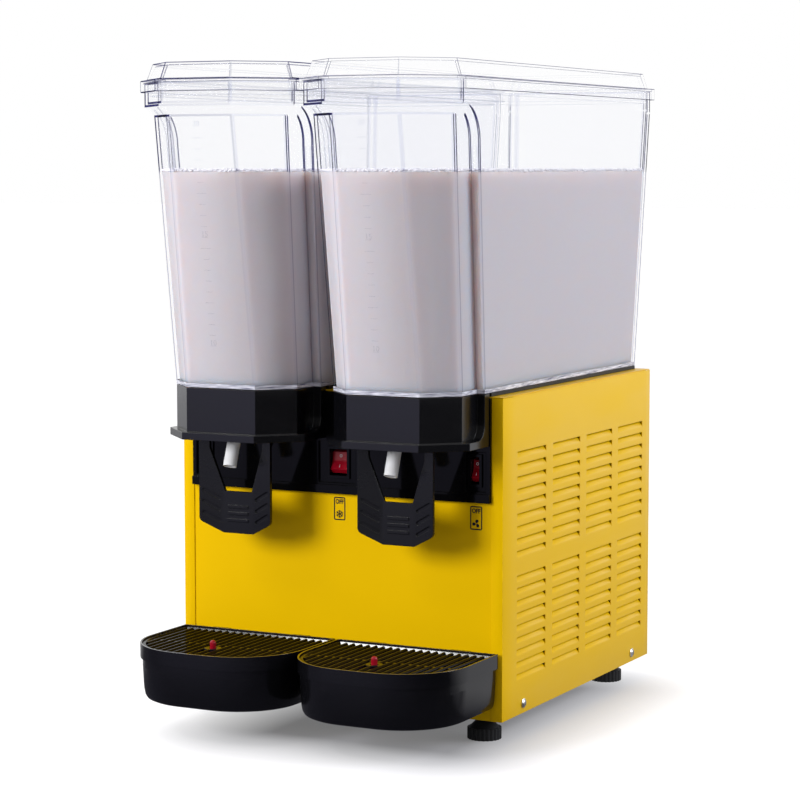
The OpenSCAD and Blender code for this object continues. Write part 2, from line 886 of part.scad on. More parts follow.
module tank_seat_left() {
    tank_seat(-1);
}

module tank_seat_right() {
    tank_seat(1);
}

// Where the side of the tank steps in beside the nose, drawn as depth against height.
module nose_recess(grow) {
    top_y = -arch_y + arch_r;
    polygon([
        [-300, tank_z - 20],
        [-step_low + grow, tank_z - 20],
        [-step_low + grow, tank_z],
        [top_y + grow, rim_z - arch_r],
        [-300, rim_z - arch_r]
    ]);
    translate([-arch_y, rim_z - arch_r]) circle(r = arch_r + grow, $fn = 64);
    translate([-300, rim_z - arch_r - sink]) square([300 - arch_y, arch_r + grow + sink]);
}

// The tank's bulk moved in by d, with its lower end at z0 and its upper end at z1.
module tank_bulk(d, z0, z1) {
    nose_low = plan_in(nose_half_low, nose_face_low, nose_front_low, body_rear_low, d);
    nose_high = plan_in(nose_half_high, nose_face_high, nose_front_high, rim_rear - 3, d);
    rim = plan_in(rim_half, rim_face, rim_front, rim_rear, d);
    body_low = plan_in(body_half_low, rim_face, rim_front, body_rear_low, d);
    body_high = plan_in(rim_half, rim_face, rim_front, rim_rear, d);
    loft(nose_low, nose_high, z0, neck_z);
    loft(nose_high, rim, neck_z, rim_z + d);
    translate([0, 0, rim_z + d - 0.01]) linear_extrude(z1 - rim_z - d + 0.01) polygon(rim);
    difference() {
        loft(body_low, body_high, z0, rim_z + d);
        across(400) nose_recess(d);
    }
}

post_r = 3;
post_h = 30;

module tank(side) {
    color([0.9, 0.95, 1, 0.35]) at_tank(side) difference() {
        union() {
            difference() {
                tank_bulk(0, tank_z, tank_top);
                tank_bulk(tank_wall, floor_z, tank_top + sink);
            }
            translate([0, mixer_y, floor_z - sink]) cylinder(r = post_r, h = post_h + sink);
            translate([0, tube_y, tank_z - 22]) cylinder(r = spigot_r, h = 22 + sink);
        }
        translate([0, drum_y, tank_z - sink]) cylinder(r = drum_r + 4, h = tank_floor + 2 * sink);
        translate([0, tube_y, tank_z - 30]) cylinder(r = spigot_bore, h = 40);
    }
}

module tank_left() {
    tank(-1);
}

module tank_right() {
    tank(1);
}

module lid_bulk(d, z0, z1) {
    base = plan_in(rim_half, rim_face, rim_front, rim_rear, lid_ledge - lid_out + d);
    top = [for (p = plan_in(rim_half, rim_face, rim_front, rim_rear, lid_ledge + lid_slope - lid_out + d))
        [p[0], p[1] > 0 ? p[1] + (p[1] > rim_rear - 25 ? lid_slope : 0) : p[1]]];
    loft(base, top, z0, z1);
}

module lid(side) {
    color([0.9, 0.95, 1, 0.35]) at_tank(side) difference() {
        union() {
            translate([0, 0, tank_top]) linear_extrude(lid_wall)
                polygon(plan_in(rim_half, rim_face, rim_front, rim_rear, -lid_out));
            difference() {
                translate([0, 0, tank_top - lid_skirt]) linear_extrude(lid_skirt)
                    polygon(plan_in(rim_half, rim_face, rim_front, rim_rear, -lid_out));
                translate([0, 0, tank_top - lid_skirt - sink]) linear_extrude(lid_skirt + sink)
                    polygon(plan_in(rim_half, rim_face, rim_front, rim_rear, -lid_lap));
            }
            lid_bulk(0, tank_top + lid_wall, tank_top + lid_wall + lid_rise);
            translate([0, 0, tank_top - 14]) linear_extrude(14)
                polygon(plan_in(rim_half, rim_face, rim_front, rim_rear, tank_wall + 2));
        }
        lid_bulk(lid_wall, tank_top + lid_wall - 0.01, tank_top + lid_rise);
        translate([0, 0, tank_top - 14 - sink]) linear_extrude(14 + lid_wall + sink)
            polygon(plan_in(rim_half, rim_face, rim_front, rim_rear, tank_wall + 2 + lid_wall));
    }
}

module lid_left() {
    lid(-1);
}

module lid_right() {
    lid(1);
}

// Cooling and stirring inside the tanks

drum_flange_r = drum_r + 10;
drum_flange_t = 2;

module evaporator(side) {
    color("silver") at_tank(side) translate([0, drum_y, deck_z]) difference() {
        union() {
            cylinder(r = drum_flange_r, h = drum_flange_t);
            cylinder(r = drum_r, h = drum_h - 12);
            translate([0, 0, drum_h - 12]) rotate_extrude() difference() {
                square([drum_r, 12]);
                translate([drum_r - 12, 0]) difference() {
                    square([13, 13]);
                    circle(r = 12);
                }
            }
        }
        translate([0, 0, -sink]) cylinder(r = drum_r - 2, h = drum_h - 14 + sink);
    }
}

module evaporator_left() {
    evaporator(-1);
}

module evaporator_right() {
    evaporator(1);
}

module evaporator_seal(side) {
    color("dimgray") at_tank(side) translate([0, drum_y, 0]) {
        ring(drum_flange_r - 1, drum_r + 0.3, deck_z + drum_flange_t, tank_z);
        ring(drum_r + 3.6, drum_r + 0.3, tank_z - sink, floor_z);
    }
}

module evaporator_seal_left() {
    evaporator_seal(-1);
}

module evaporator_seal_right() {
    evaporator_seal(1);
}

puck_h = 12;
blade_h = 26;

module mixer(side) {
    color("white") at_tank(side) translate([0, mixer_y, floor_z + air]) difference() {
        union() {
            cylinder(r = magnet_r, h = puck_h);
            cylinder(r = 9, h = puck_h + blade_h);
            intersection() {
                for (a = [0:120:240])
                    rotate([0, 0, a]) translate([4, -1.3, puck_h - sink]) rotate([12, 0, 0])
                        cube([mixer_r, 2.6, blade_h - 2]);
                cylinder(r = mixer_r, h = 60);
            }
        }
        translate([0, 0, -sink]) cylinder(r = post_r + run_gap, h = post_h + sink);
    }
}

module mixer_left() {
    mixer(-1);
}

module mixer_right() {
    mixer(1);
}

shaft_r = 3;
disc_z = top_z - 13;
motor_top = top_z - 20;
motor_h = 42;
motor_w = 62;

module drive_magnet(side) {
    color("dimgray") at_tank(side) translate([0, mixer_y, 0]) {
        translate([0, 0, disc_z]) cylinder(r = magnet_r + 2, h = 9);
        translate([0, 0, motor_top - 20]) cylinder(r = shaft_r, h = disc_z - motor_top + 21);
    }
}

module drive_magnet_left() {
    drive_magnet(-1);
}

module drive_magnet_right() {
    drive_magnet(1);
}

module mixer_motor(side) {
    color("gray") at_tank(side) translate([0, mixer_y, 0]) difference() {
        union() {
            translate([-motor_w / 2, -motor_w / 2, motor_top - motor_h - 4])
                cube([motor_w, motor_w, motor_h]);
            translate([0, 0, motor_top - 5]) cylinder(r = 9, h = 5);
            for (s = [-1, 1])
                translate([s * (motor_w / 2 + 1) - 1, -12, motor_top - 30])
                    cube([2, 24, top_z - motor_top + 30]);
            for (s = [-1, 1])
                translate([s * (motor_w / 2 + 7) - 7, -12, top_z - 2]) cube([14, 24, 2]);
        }
        translate([0, 0, motor_top - 24]) cylinder(r = shaft_r + run_gap, h = 30);
    }
}

module mixer_motor_left() {
    mixer_motor(-1);
}

module mixer_motor_right() {
    mixer_motor(1);
}

// Drip trays

// Plan of a tray moved in by d: straight sides and two large front corners.
function tray_plan(d, rear) = concat(
    [[-tray_half + d, rear]],
    [for (i = [0:14]) let (a = 180 + 90 * i / 14)
        [-tray_half + tray_corner_r + (tray_corner_r - d) * cos(a),
         -tray_reach + tray_corner_r + (tray_corner_r - d) * sin(a)]],
    [for (i = [0:14]) let (a = 270 + 90 * i / 14)
        [tray_half - tray_corner_r + (tray_corner_r - d) * cos(a),
         -tray_reach + tray_corner_r + (tray_corner_r - d) * sin(a)]],
    [[tray_half - d, rear]]
);

tray_rear = -5.2;
// How far each level of the rounded underside stands in, and its height over the tray's foot.
tray_levels = [[7.6, 0], [4.2, 1.4], [2.4, 4.4], [1.4, 9.5], [0.9, 16], [0, 34]];

module tray_bulk(d, z0) {
    rear = tray_rear - d;
    for (i = [0:4])
        loft(tray_plan(band_proud + d + tray_levels[i][0], rear),
            tray_plan(band_proud + d + tray_levels[i + 1][0], rear),
            z0 + tray_levels[i][1], z0 + tray_levels[i + 1][1]);
    translate([0, 0, z0 + 34 - 0.01]) linear_extrude(tray_top - z0 - 34 + 0.01 - (d > 0 ? 0 : sink))
        polygon(tray_plan(band_proud + d, rear));
}

bumper_x = hook_x / 2;
bumper_w = 16;
guide_r = 2;
guide_h = 36;

module drip_tray(side) {
    color("black") at_tank(side) {
        difference() {
            union() {
                tray_bulk(0, tray_z);
                translate([0, 0, tray_top - tray_band]) linear_extrude(tray_band)
                    polygon(tray_plan(0, tray_rear));
            }
            tray_bulk(tray_wall, tray_z + tray_wall);
            translate([0, 0, grille_z]) linear_extrude(20)
                polygon(tray_plan(tray_rim_t, tray_rear - tray_rim_t));
        }
        translate([0, float_y, tray_z + tray_wall - 0.5]) cylinder(r = guide_r, h = guide_h);
        for (x = [-hook_x, hook_x])
            translate([x, 0, 0]) across(hook_w + 6) polygon([
                [tray_rear - 0.5, tray_top - 9],
                [tray_rear - 0.5, tray_top - 0.5],
                [-air, tray_top - 0.5],
                [-air, hook_low + hook_t + 5],
                [-hook_gap + air, hook_low + hook_t + 5],
                [-hook_gap + air, tray_top - 9]
            ]);
        for (x = [-bumper_x, bumper_x])
            translate([x - bumper_w / 2, tray_rear - 0.5, tray_z + 3])
                cube([bumper_w, -tray_rear + 0.5 - air, 6]);
    }
}

module drip_tray_left() {
    drip_tray(-1);
}

module drip_tray_right() {
    drip_tray(1);
}

slot_count = floor((tray_half - 8) / rib_pitch);

module drip_grille(side) {
    inset = tray_rim_t + grille_gap;
    color("black") at_tank(side) difference() {
        translate([0, 0, grille_z]) linear_extrude(grille_t) polygon(tray_plan(inset, tray_rear - inset));
        translate([0, 0, grille_z - sink]) linear_extrude(grille_t + 2 * sink) intersection() {
            polygon(tray_plan(inset + 5, tray_rear - inset - 5));
            difference() {
                for (i = [-slot_count:slot_count - 1])
                    translate([(i + 0.5) * rib_pitch - (rib_pitch - rib_w) / 2, -200])
                        square([rib_pitch - rib_w, 200]);
                translate([-100, -82]) square([200, 4]);
                translate([0, float_y]) circle(r = 9);
            }
        }
        translate([0, float_y, grille_z - sink]) cylinder(r = float_tip_r + 0.8, h = grille_t + 2 * sink);
    }
}

module drip_grille_left() {
    drip_grille(-1);
}

module drip_grille_right() {
    drip_grille(1);
}

float_low = tray_z + tray_wall + 1;

module float_piece(side) {
    color("red") at_tank(side) translate([0, float_y, 0]) difference() {
        union() {
            translate([0, 0, float_low]) cylinder(r = 13, h = 16);
            translate([0, 0, float_low]) cylinder(r = float_tip_r + 0.4, h = guide_h + 3);
            translate([0, 0, float_low + guide_h]) cylinder(r = float_tip_r,
                h = tray_top + 3.5 - float_low - guide_h);
            translate([0, 0, tray_top + 3.5]) sphere(r = float_tip_r);
        }
        translate([0, 0, float_low - sink]) cylinder(r = guide_r + run_gap, h = guide_h + sink);
    }
}

module float_left() {
    float_piece(-1);
}

module float_right() {
    float_piece(1);
}

// Levelling feet

module foot(x, y) {
    color("black") translate([x, y, 0]) {
        linear_extrude(12) difference() {
            circle(r = foot_r);
            for (a = [0:15:345]) rotate(a) translate([foot_r + 1.1, 0]) circle(r = 1.9, $fn = 16);
        }
        translate([0, 0, 12]) cylinder(r1 = 15.4, r2 = 8.6, h = 7);
        translate([0, 0, 19]) cylinder(r = 8.6, h = foot_h - 19 - air);
        cylinder(r = stud_r, h = foot_h + base_t + nut_h + 3);
    }
}

module foot_front_left() {
    foot(-foot_x, foot_front_y);
}

module foot_front_right() {
    foot(foot_x, foot_front_y);
}

module foot_rear_left() {
    foot(-foot_x, foot_rear_y);
}

module foot_rear_right() {
    foot(foot_x, foot_rear_y);
}

// Refrigeration

shell_low = floor_in + 20;
shell_h = 156;
plate_z = floor_in + 12;

module compressor() {
    color("black") translate([compressor_x, compressor_y, 0]) difference() {
        union() {
            translate([0, 0, shell_low]) rotate_extrude() difference() {
                square([compressor_r, shell_h]);
                for (z = [0, shell_h])
                    translate([compressor_r - 30, z == 0 ? 30 : shell_h - 30]) difference() {
                        translate([0, z == 0 ? -31 : 0]) square([31, 31]);
                        circle(r = 30);
                    }
            }
            translate([-mount_dx - 12, -mount_dy - 12, plate_z])
                cube([2 * mount_dx + 24, 2 * mount_dy + 24, 3]);
            translate([-30, -30, plate_z]) cube([60, 60, 24]);
            translate([-compressor_r - 16, -24, shell_low + 66]) cube([34, 48, 46]);
        }
        for (x = [-mount_dx, mount_dx])
            for (y = [-mount_dy, mount_dy])
                translate([x, y, plate_z - sink]) cylinder(r = mount_bolt_r + 3 + air, h = 3 + 2 * sink);
    }
}

module compressor_mounts() {
    color("dimgray") at_mounts() {
        ring(10, mount_bolt_r, floor_in, plate_z);
        ring(mount_bolt_r + 3, mount_bolt_r, plate_z, plate_z + 3);
        translate([0, 0, base_z - 5]) cylinder(r = mount_bolt_r, h = plate_z - base_z + 14);
        translate([0, 0, base_z - 5]) cylinder(r = 7, h = 5);
        translate([0, 0, plate_z + 3]) cylinder(r = 8, h = 3);
    }
}

coil_half = 78;
coil_low = fan_z - 78;
coil_high = fan_z + 78;
coil_y = cabinet_d - sheet - 44;
coil_d = 40;

module condenser() {
    color("silver") translate([fan_x, coil_y, 0]) {
        for (s = [-1, 1])
            translate([s * coil_half - 1, 0, coil_low]) cube([2, coil_d, coil_high - coil_low]);
        for (i = [0:11])
            translate([-coil_half + 12 * i + 11, 2, coil_low + 2])
                cube([1.2, coil_d - 4, coil_high - coil_low - 4]);
        for (r = [0:5])
            for (d = [0, 1])
                translate([-coil_half - 6, 11 + 18 * d, coil_low + 16 + 25 * r]) rotate([0, 90, 0])
                    cylinder(r = line_r, h = 2 * coil_half + 12);
        for (s = [-1, 1])
            for (r = [0:5])
                translate([s * (coil_half + 5) - 2.5, 11, coil_low + 12.4 + 25 * r]) cube([5, 18, 7]);
        translate([-coil_half, 6, coil_low - 2]) cube([2 * coil_half, coil_d - 12, 2]);
        for (s = [-1, 1])
            translate([s * 60 - 8, 8, floor_in]) cube([16, coil_d - 16, coil_low - floor_in - 2]);
    }
}

shroud_y = coil_y - 26;

module fan_shroud() {
    color("gray") translate([fan_x, shroud_y, 0]) {
        difference() {
            translate([-coil_half, 0, coil_low]) cube([2 * coil_half, 26, coil_high - coil_low]);
            translate([-coil_half + 1.5, 1.5, coil_low + 1.5])
                cube([2 * coil_half - 3, 30, coil_high - coil_low - 3]);
            translate([0, -sink, fan_z]) rotate([-90, 0, 0]) cylinder(r = fan_r + 4, h = 10);
        }
        for (a = [45:90:315])
            translate([0, 0, fan_z]) rotate([0, a, 0]) translate([fan_r + 3, -14, -3]) cube([9, 14, 6]);
        translate([0, -14, fan_z]) rotate([90, 0, 0]) linear_extrude(2) difference() {
            union() {
                circle(r = 30);
                for (a = [45, 135]) rotate(a) square([2 * fan_r + 26, 6], center = true);
            }
            circle(r = 12);
        }
    }
}

fan_shaft_r = 3;

module fan_motor() {
    color("dimgray") translate([fan_x, shroud_y - 16, fan_z]) rotate([90, 0, 0]) difference() {
        union() {
            cylinder(r = 28, h = 40);
            translate([0, 0, -6]) cylinder(r = 11.7, h = 7);
        }
        translate([0, 0, -7]) cylinder(r = fan_shaft_r + run_gap, h = 31);
    }
}

module fan_rotor() {
    color("silver") translate([fan_x, shroud_y, fan_z]) rotate([-90, 0, 0]) {
        translate([0, 0, -4]) cylinder(r = 14, h = 18);
        translate([0, 0, -28]) cylinder(r = fan_shaft_r, h = 26);
        intersection() {
            for (a = [0:72:288])
                rotate([0, 0, a]) translate([10, 0, 5]) rotate([24, 0, 0])
                    translate([0, -20, -0.8]) cube([fan_r, 40, 1.6]);
            translate([0, 0, -8]) cylinder(r = fan_r, h = 26);
        }
    }
}

drier_x = fan_x + 118;
drier_y = 300;
drier_z = floor_in + 70;

module filter_drier() {
    color("peru") translate([drier_x, drier_y, drier_z]) rotate([0, 90, 0]) {
        cylinder(r = 10, h = 80);
        translate([0, 0, -9]) cylinder(r1 = line_r, r2 = 10, h = 9);
        translate([0, 0, 80]) cylinder(r1 = 10, r2 = line_r, h = 9);
    }
}

// Copper pipe along straight runs with rounded elbows.
module pipe(points, r) {
    for (i = [0:len(points) - 2]) {
        v = points[i + 1] - points[i];
        l = norm(v);
        translate(points[i]) rotate([0, acos(v[2] / l), atan2(v[1], v[0])]) cylinder(r = r, h = l);
    }
    for (i = [1:len(points) - 2]) translate(points[i]) sphere(r = r);
}

module refrigerant_lines() {
    lift = shell_low + shell_h;
    in_x = fan_x + coil_half + 7.5;
    color("peru") {
        pipe([[compressor_x - 24, compressor_y + 16, lift],
            [compressor_x - 24, compressor_y + 16, lift + 40],
            [in_x + 14, compressor_y + 16, lift + 40], [in_x + 14, coil_y + 20, lift + 40],
            [in_x + 14, coil_y + 20, coil_low + 140.9],
                [in_x, coil_y + 20, coil_low + 140.9]], line_r - 1);
        pipe([[in_x, coil_y + 20, coil_low + 15.9], [in_x + 14, coil_y + 20, coil_low + 15.9],
            [in_x + 14, drier_y, coil_low + 15.9], [in_x + 14, drier_y, drier_z],
                [drier_x - 9, drier_y, drier_z]],
            line_r - 1);
        pipe([[drier_x + 89, drier_y, drier_z], [drier_x + 104, drier_y, drier_z],
            [drier_x + 104, drier_y, top_z - 24],
            [tank_pitch / 2, drier_y, top_z - 24], [tank_pitch / 2, drum_y + 10, top_z - 24],
            [tank_pitch / 2, drum_y + 10, deck_z + 30]], line_r - 2);
        pipe([[tank_pitch / 2, drum_y - 10, deck_z + 30], [tank_pitch / 2, drum_y - 10, top_z - 40],
            [-tank_pitch / 2, drum_y - 10, top_z - 40],
                [-tank_pitch / 2, drum_y - 10, deck_z + 30]], line_r - 2);
        for (s = [-1, 1])
            at_tank(s) translate([0, drum_y, deck_z + 30]) cylinder(r = drum_r - 2 - air, h = 50);
        pipe([[-tank_pitch / 2, drum_y + 10, deck_z + 30], [-tank_pitch / 2, drum_y + 10, top_z - 62],
            [compressor_x + 24, drum_y + 10, top_z - 62],
                [compressor_x + 24, compressor_y + 16, top_z - 62],
            [compressor_x + 24, compressor_y + 16, lift]], line_r - 1);
    }
}

module thermostat() {
    color("gray") {
        translate([-fascia_half + 60, sheet, base_z + 120]) cube([44, 30, 34]);
        translate([-fascia_half + 82, sheet + 30, base_z + 137]) rotate([-90, 0, 0]) cylinder(r = 8,
            h = 6);
    }
}

// Fixings

module panel_screws() {
    color("silver") for (s = [-1, 1])
        for (p = side_screws)
            translate([s * cabinet_w / 2, p[0], p[1]]) rotate([0, 90 * s, 0]) {
                difference() {
                    intersection() {
                        cylinder(r = 5, h = 3.2);
                        translate([0, 0, -4.2]) sphere(r = 7.4);
                    }
                    translate([-4, -0.6, 2]) cube([8, 1.2, 2]);
                }
                translate([0, 0, -9]) cylinder(r = screw_r, h = 9.5);
            }
}

module cord_gland() {
    color("black") translate([gland_x, cabinet_d, gland_z]) rotate([-90, 0, 0]) difference() {
        union() {
            cylinder(r = 12, h = 5);
            translate([0, 0, 5]) cylinder(r = 9.5, h = 9, $fn = 12);
            translate([0, 0, -10]) cylinder(r = gland_r, h = 10.5);
            translate([0, 0, -sheet - 5]) cylinder(r = 11.5, h = 5, $fn = 6);
        }
        translate([0, 0, -12]) cylinder(r = 4, h = 30);
    }
}

place() {
    base_plate();
    front_panel();
    side_panel_left();
    side_panel_right();
    rear_panel();
    top_deck();
    control_fascia();
    collar_left();
    collar_right();
    tank_seat_left();
    tank_seat_right();
    tank_left();
    tank_right();
    lid_left();
    lid_right();
    evaporator_left();
    evaporator_right();
    evaporator_seal_left();
    evaporator_seal_right();
    mixer_left();
    mixer_right();
    drive_magnet_left();
    drive_magnet_right();
    mixer_motor_left();
    mixer_motor_right();
    outlet_tube_left();
    outlet_tube_right();
    tap_lever_left();
    tap_lever_right();
    lever_pin_left();
    lever_pin_right();
    lever_spring_left();
    lever_spring_right();
    switch_body_left();
    switch_body_centre();
    switch_body_right();
    rocker_left();
    rocker_centre();
    rocker_right();
    drip_tray_left();
    drip_tray_right();
    drip_grille_left();
    drip_grille_right();
    float_left();
    float_right();
    foot_front_left();
    foot_front_right();
    foot_rear_left();
    foot_rear_right();
    compressor();
    compressor_mounts();
    condenser();
    fan_shroud();
    fan_motor();
    fan_rotor();
    filter_drier();
    refrigerant_lines();
    thermostat();
    panel_screws();
    cord_gland();
}
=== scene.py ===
# %% [markdown]
# # A twin-tank cold drink dispenser
# The CAD model gives every piece its place and its size. This lesson dresses it: sheet metal with pressed
# louvres, moulded black plastic, clear tanks with a drink in them, and the studio around it.
# Lengths below are millimetres in the cabinet's own frame, unless metres are named: y = 0 is the front panel's
# face, and z = 18 is the underside of its base.

# %% Load the frame
import json
import math

import bmesh
import bpy
from mathutils import Matrix, Vector

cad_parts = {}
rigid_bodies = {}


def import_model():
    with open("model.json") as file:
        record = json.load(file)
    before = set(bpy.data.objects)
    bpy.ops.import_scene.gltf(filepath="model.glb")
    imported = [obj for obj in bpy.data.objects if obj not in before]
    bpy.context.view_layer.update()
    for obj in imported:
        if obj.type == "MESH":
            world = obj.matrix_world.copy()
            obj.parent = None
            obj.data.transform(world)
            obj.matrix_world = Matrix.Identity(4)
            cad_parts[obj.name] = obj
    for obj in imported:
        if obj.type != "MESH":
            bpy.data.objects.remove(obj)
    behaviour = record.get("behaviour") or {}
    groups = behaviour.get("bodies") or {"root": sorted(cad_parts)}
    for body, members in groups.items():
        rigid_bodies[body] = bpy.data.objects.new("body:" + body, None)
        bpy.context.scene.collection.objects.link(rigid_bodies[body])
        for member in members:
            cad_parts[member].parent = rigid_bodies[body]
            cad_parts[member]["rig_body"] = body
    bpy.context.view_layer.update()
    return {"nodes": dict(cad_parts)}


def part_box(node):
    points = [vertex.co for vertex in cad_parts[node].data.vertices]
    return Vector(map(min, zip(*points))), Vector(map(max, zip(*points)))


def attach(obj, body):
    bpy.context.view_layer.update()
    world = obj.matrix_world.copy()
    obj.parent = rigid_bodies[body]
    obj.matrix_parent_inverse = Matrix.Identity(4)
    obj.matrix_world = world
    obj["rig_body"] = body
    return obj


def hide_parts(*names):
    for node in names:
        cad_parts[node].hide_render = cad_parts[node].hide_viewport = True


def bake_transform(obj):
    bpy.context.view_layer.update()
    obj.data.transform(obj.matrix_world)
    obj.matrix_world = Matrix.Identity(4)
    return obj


for leftover in list(bpy.data.objects):
    bpy.data.objects.remove(leftover)
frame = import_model()
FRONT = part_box("rear_panel")[1].y - 0.400
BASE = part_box("rear_panel")[0].z - 0.018
HANDS = (("left", -92.5), ("right", 92.5))  # each tank's name and its middle
scene = bpy.context.scene
print("nodes:", len(frame["nodes"]), "front panel at", round(FRONT, 5), "raised by", round(BASE, 5))


def at(x, y, z):
    """A point of the cabinet's frame as a point of the scene, in metres."""
    return Vector((x / 1000, y / 1000 + FRONT, z / 1000 + BASE))


def placed(name, data):
    """A new object of the scene."""
    piece = bpy.data.objects.new(name, data)
    scene.collection.objects.link(piece)
    return piece


# %% [markdown]
# ## Camera
# A long lens well away from the machine keeps its upright edges nearly parallel. The camera looks down by a
# little over five degrees and stands to the right of the middle.

# %% Camera
LENS, LOOKS_DOWN, LOOKS_ASIDE, BOUNCES = 112.42, 5.365, 26.888, 24
scene.view_settings.view_transform = "Standard"
camera = placed("camera", bpy.data.cameras.new("camera"))
camera.data.sensor_fit = "HORIZONTAL"
camera.data.sensor_width = 36
camera.data.lens = LENS
camera.location = at(1211.3, -2249.4, 575.8)
camera.rotation_euler = (math.radians(90 - LOOKS_DOWN), 0, math.radians(LOOKS_ASIDE))
scene.camera = camera
scene.cycles.max_bounces = BOUNCES
scene.cycles.transmission_bounces = BOUNCES
scene.cycles.transparent_max_bounces = BOUNCES
print("camera at", tuple(camera.location))


# %% [markdown]
# ## Small tools for materials
# A finish is a Principled shader with its own colour, fed by effects that several finishes share. Each effect
# is a node group that puts out a mask or a height, so that it can be placed in any material.

# %% Node helpers
def fill(tree, node, links):
    """Feeds a node's inputs, named by label or as _0, _1 by number, with a value or a link."""
    for label, value in links.items():
        socket = node.inputs[int(label[1:])] if label[1:].isdigit() else node.inputs[label.replace("_", " ")]
        if isinstance(value, bpy.types.NodeSocket):
            tree.links.new(value, socket)
        else:
            socket.default_value = value


def put(tree, kind, settings=None, **links):
    """Adds a node with its settings, feeds its inputs and gives back its outputs."""
    node = tree.nodes.new(kind)
    for label, value in (settings or {}).items():
        setattr(node, label, value)
    fill(tree, node, links)
    return node.outputs


def shade(tree, kind, settings=None, **links):
    return put(tree, "ShaderNode" + kind, settings, **links)


def effect(name, *outputs, **inputs):
    """An empty group of nodes, with what comes in and the node that puts out."""
    tree = bpy.data.node_groups.new(name, "ShaderNodeTree")
    socket = tree.interface.new_socket
    for label, value in inputs.items():
        socket(label, in_out="INPUT", socket_type="NodeSocketFloat").default_value = value
    for label in outputs:
        socket(label, in_out="OUTPUT", socket_type="NodeSocketFloat")
    return tree, tree.nodes.new("NodeGroupInput").outputs, tree.nodes.new("NodeGroupOutput")


def own_place(tree):
    return shade(tree, "TexCoord")["Object"]


def axes(tree, vector):
    return shade(tree, "SeparateXYZ", Vector=vector)


def noise(tree, where, scale, detail=2.0, stretch=None):
    if stretch:
        where = shade(tree, "Mapping", Vector=where, Scale=stretch)["Vector"]
    return shade(tree, "TexNoise", Vector=where, Scale=scale, Detail=detail)["Fac"]


def maths(tree, kind, a, b=0.0):
    return shade(tree, "Math", {"operation": kind}, _0=a, _1=b)[0]


def ramp(tree, value, low, high, to_low=0.0, to_high=1.0):
    ends = {"From Min": low, "From Max": high, "To Min": to_low, "To Max": to_high}
    return shade(tree, "MapRange", Value=value, **ends)["Result"]


def mixed(tree, share, first, second):
    """Two colours mixed by a share."""
    return shade(tree, "Mix", {"data_type": "RGBA"}, _0=share, _6=first, _7=second)[2]


# %% Effect: fine skin of paint or moulded plastic
skin, skin_in, skin_out = effect("surface_skin", "Height", "Tone", Grain=900, Flow=14)
place = own_place(skin)
fine = noise(skin, place, skin_in["Grain"], 3)
slow = noise(skin, place, skin_in["Flow"])
fill(skin, skin_out, {"Height": maths(skin, "ADD", fine, maths(skin, "MULTIPLY", slow, 0.4)), "Tone": slow})
print("effect", skin.name)

# %% Effect: dust that settles on top, and smears from wiping
dust, dust_in, dust_out = effect("dust_and_smears", "Dust", "Smear", Speck=700, Cover=0.5)
place = own_place(dust)
cells = shade(dust, "TexVoronoi", Vector=place, Scale=dust_in["Speck"])
dots = ramp(dust, cells["Distance"], 0.16, 0.07)
patch = ramp(dust, noise(dust, place, 60, 3), 0.52, 0.68)
facing = axes(dust, shade(dust, "NewGeometry")["Normal"])
upward = ramp(dust, facing["Z"], -0.1, 0.9, 0.12, 1)
specks = maths(dust, "MULTIPLY", maths(dust, "MULTIPLY", dots, patch), upward)
wiped = noise(dust, place, 9, 4, (1, 1, 3.5))
fill(dust, dust_out, {"Dust": maths(dust, "MULTIPLY", specks, dust_in["Cover"]),
                      "Smear": ramp(dust, wiped, 0.35, 0.7)})
print("effect", dust.name)

# %% Effect: lines left by rolling, drawing or brushing metal
lines, lines_in, lines_out = effect("drawn_lines", "Height", "Tone", Fineness=60)
streaks = noise(lines, own_place(lines), lines_in["Fineness"], 4, (1, 1, 14))
fill(lines, lines_out, {"Height": streaks, "Tone": ramp(lines, streaks, 0.3, 0.7)})
print("effect", lines.name)


# %% [markdown]
# ## Finishes
# The paint is a powder coat, with the faint ripple that painters call orange peel. The black plastics differ
# mostly in gloss: the fascia is polished, the cowls and levers are satin and the trays lie between them.

# %% Finish helper
DUST_GREY = (0.55, 0.55, 0.56, 1)


def material(name):
    """A new material with its tree and its shader."""
    mat = bpy.data.materials.new(name)
    mat.use_nodes = True
    return mat, mat.node_tree, mat.node_tree.nodes["Principled BSDF"]


def place_effect(tree, group, **values):
    return shade(tree, "Group", {"node_tree": group}, **values)


def finish(name, tone, second, gloss, sizes, bump=0.1, cover=0, shine=0.5, round_mm=0, group=skin, metal=0,
           more=None):
    """A solid finish: two close tones, a range of roughness, the sizes of its grain, a bump in tenths of a
    millimetre, some dust, a shine, and edges that catch the light as if they were rounded."""
    mat, tree, shader = material(name)
    grain = place_effect(tree, group, **{"_" + str(i): size for i, size in enumerate(sizes)})
    settled = place_effect(tree, dust, Cover=cover)
    colour = mixed(tree, grain["Tone"], (*tone, 1), (*second, 1))
    relief = {"Strength": 0.6, "Distance": bump / 10000, "Height": grain["Height"]}
    if round_mm:
        relief["Normal"] = shade(tree, "Bevel", {"samples": 4}, Radius=round_mm / 1000)["Normal"]
    fill(tree, shader, {"Metallic": metal, "Specular IOR Level": shine,
                        "Base Color": mixed(tree, settled["Dust"], colour, DUST_GREY),
                        "Roughness": ramp(tree, settled["Smear"], 0.0, 1.0, *gloss),
                        "Normal": shade(tree, "Bump", **relief)["Normal"], **(more or {})})
    return mat


# %% Painted and moulded finishes
SOOT = (0.0022, 0.0022, 0.003), (0.0036, 0.0036, 0.0048)
JET = (0.002, 0.002, 0.0026), (0.004, 0.004, 0.005)
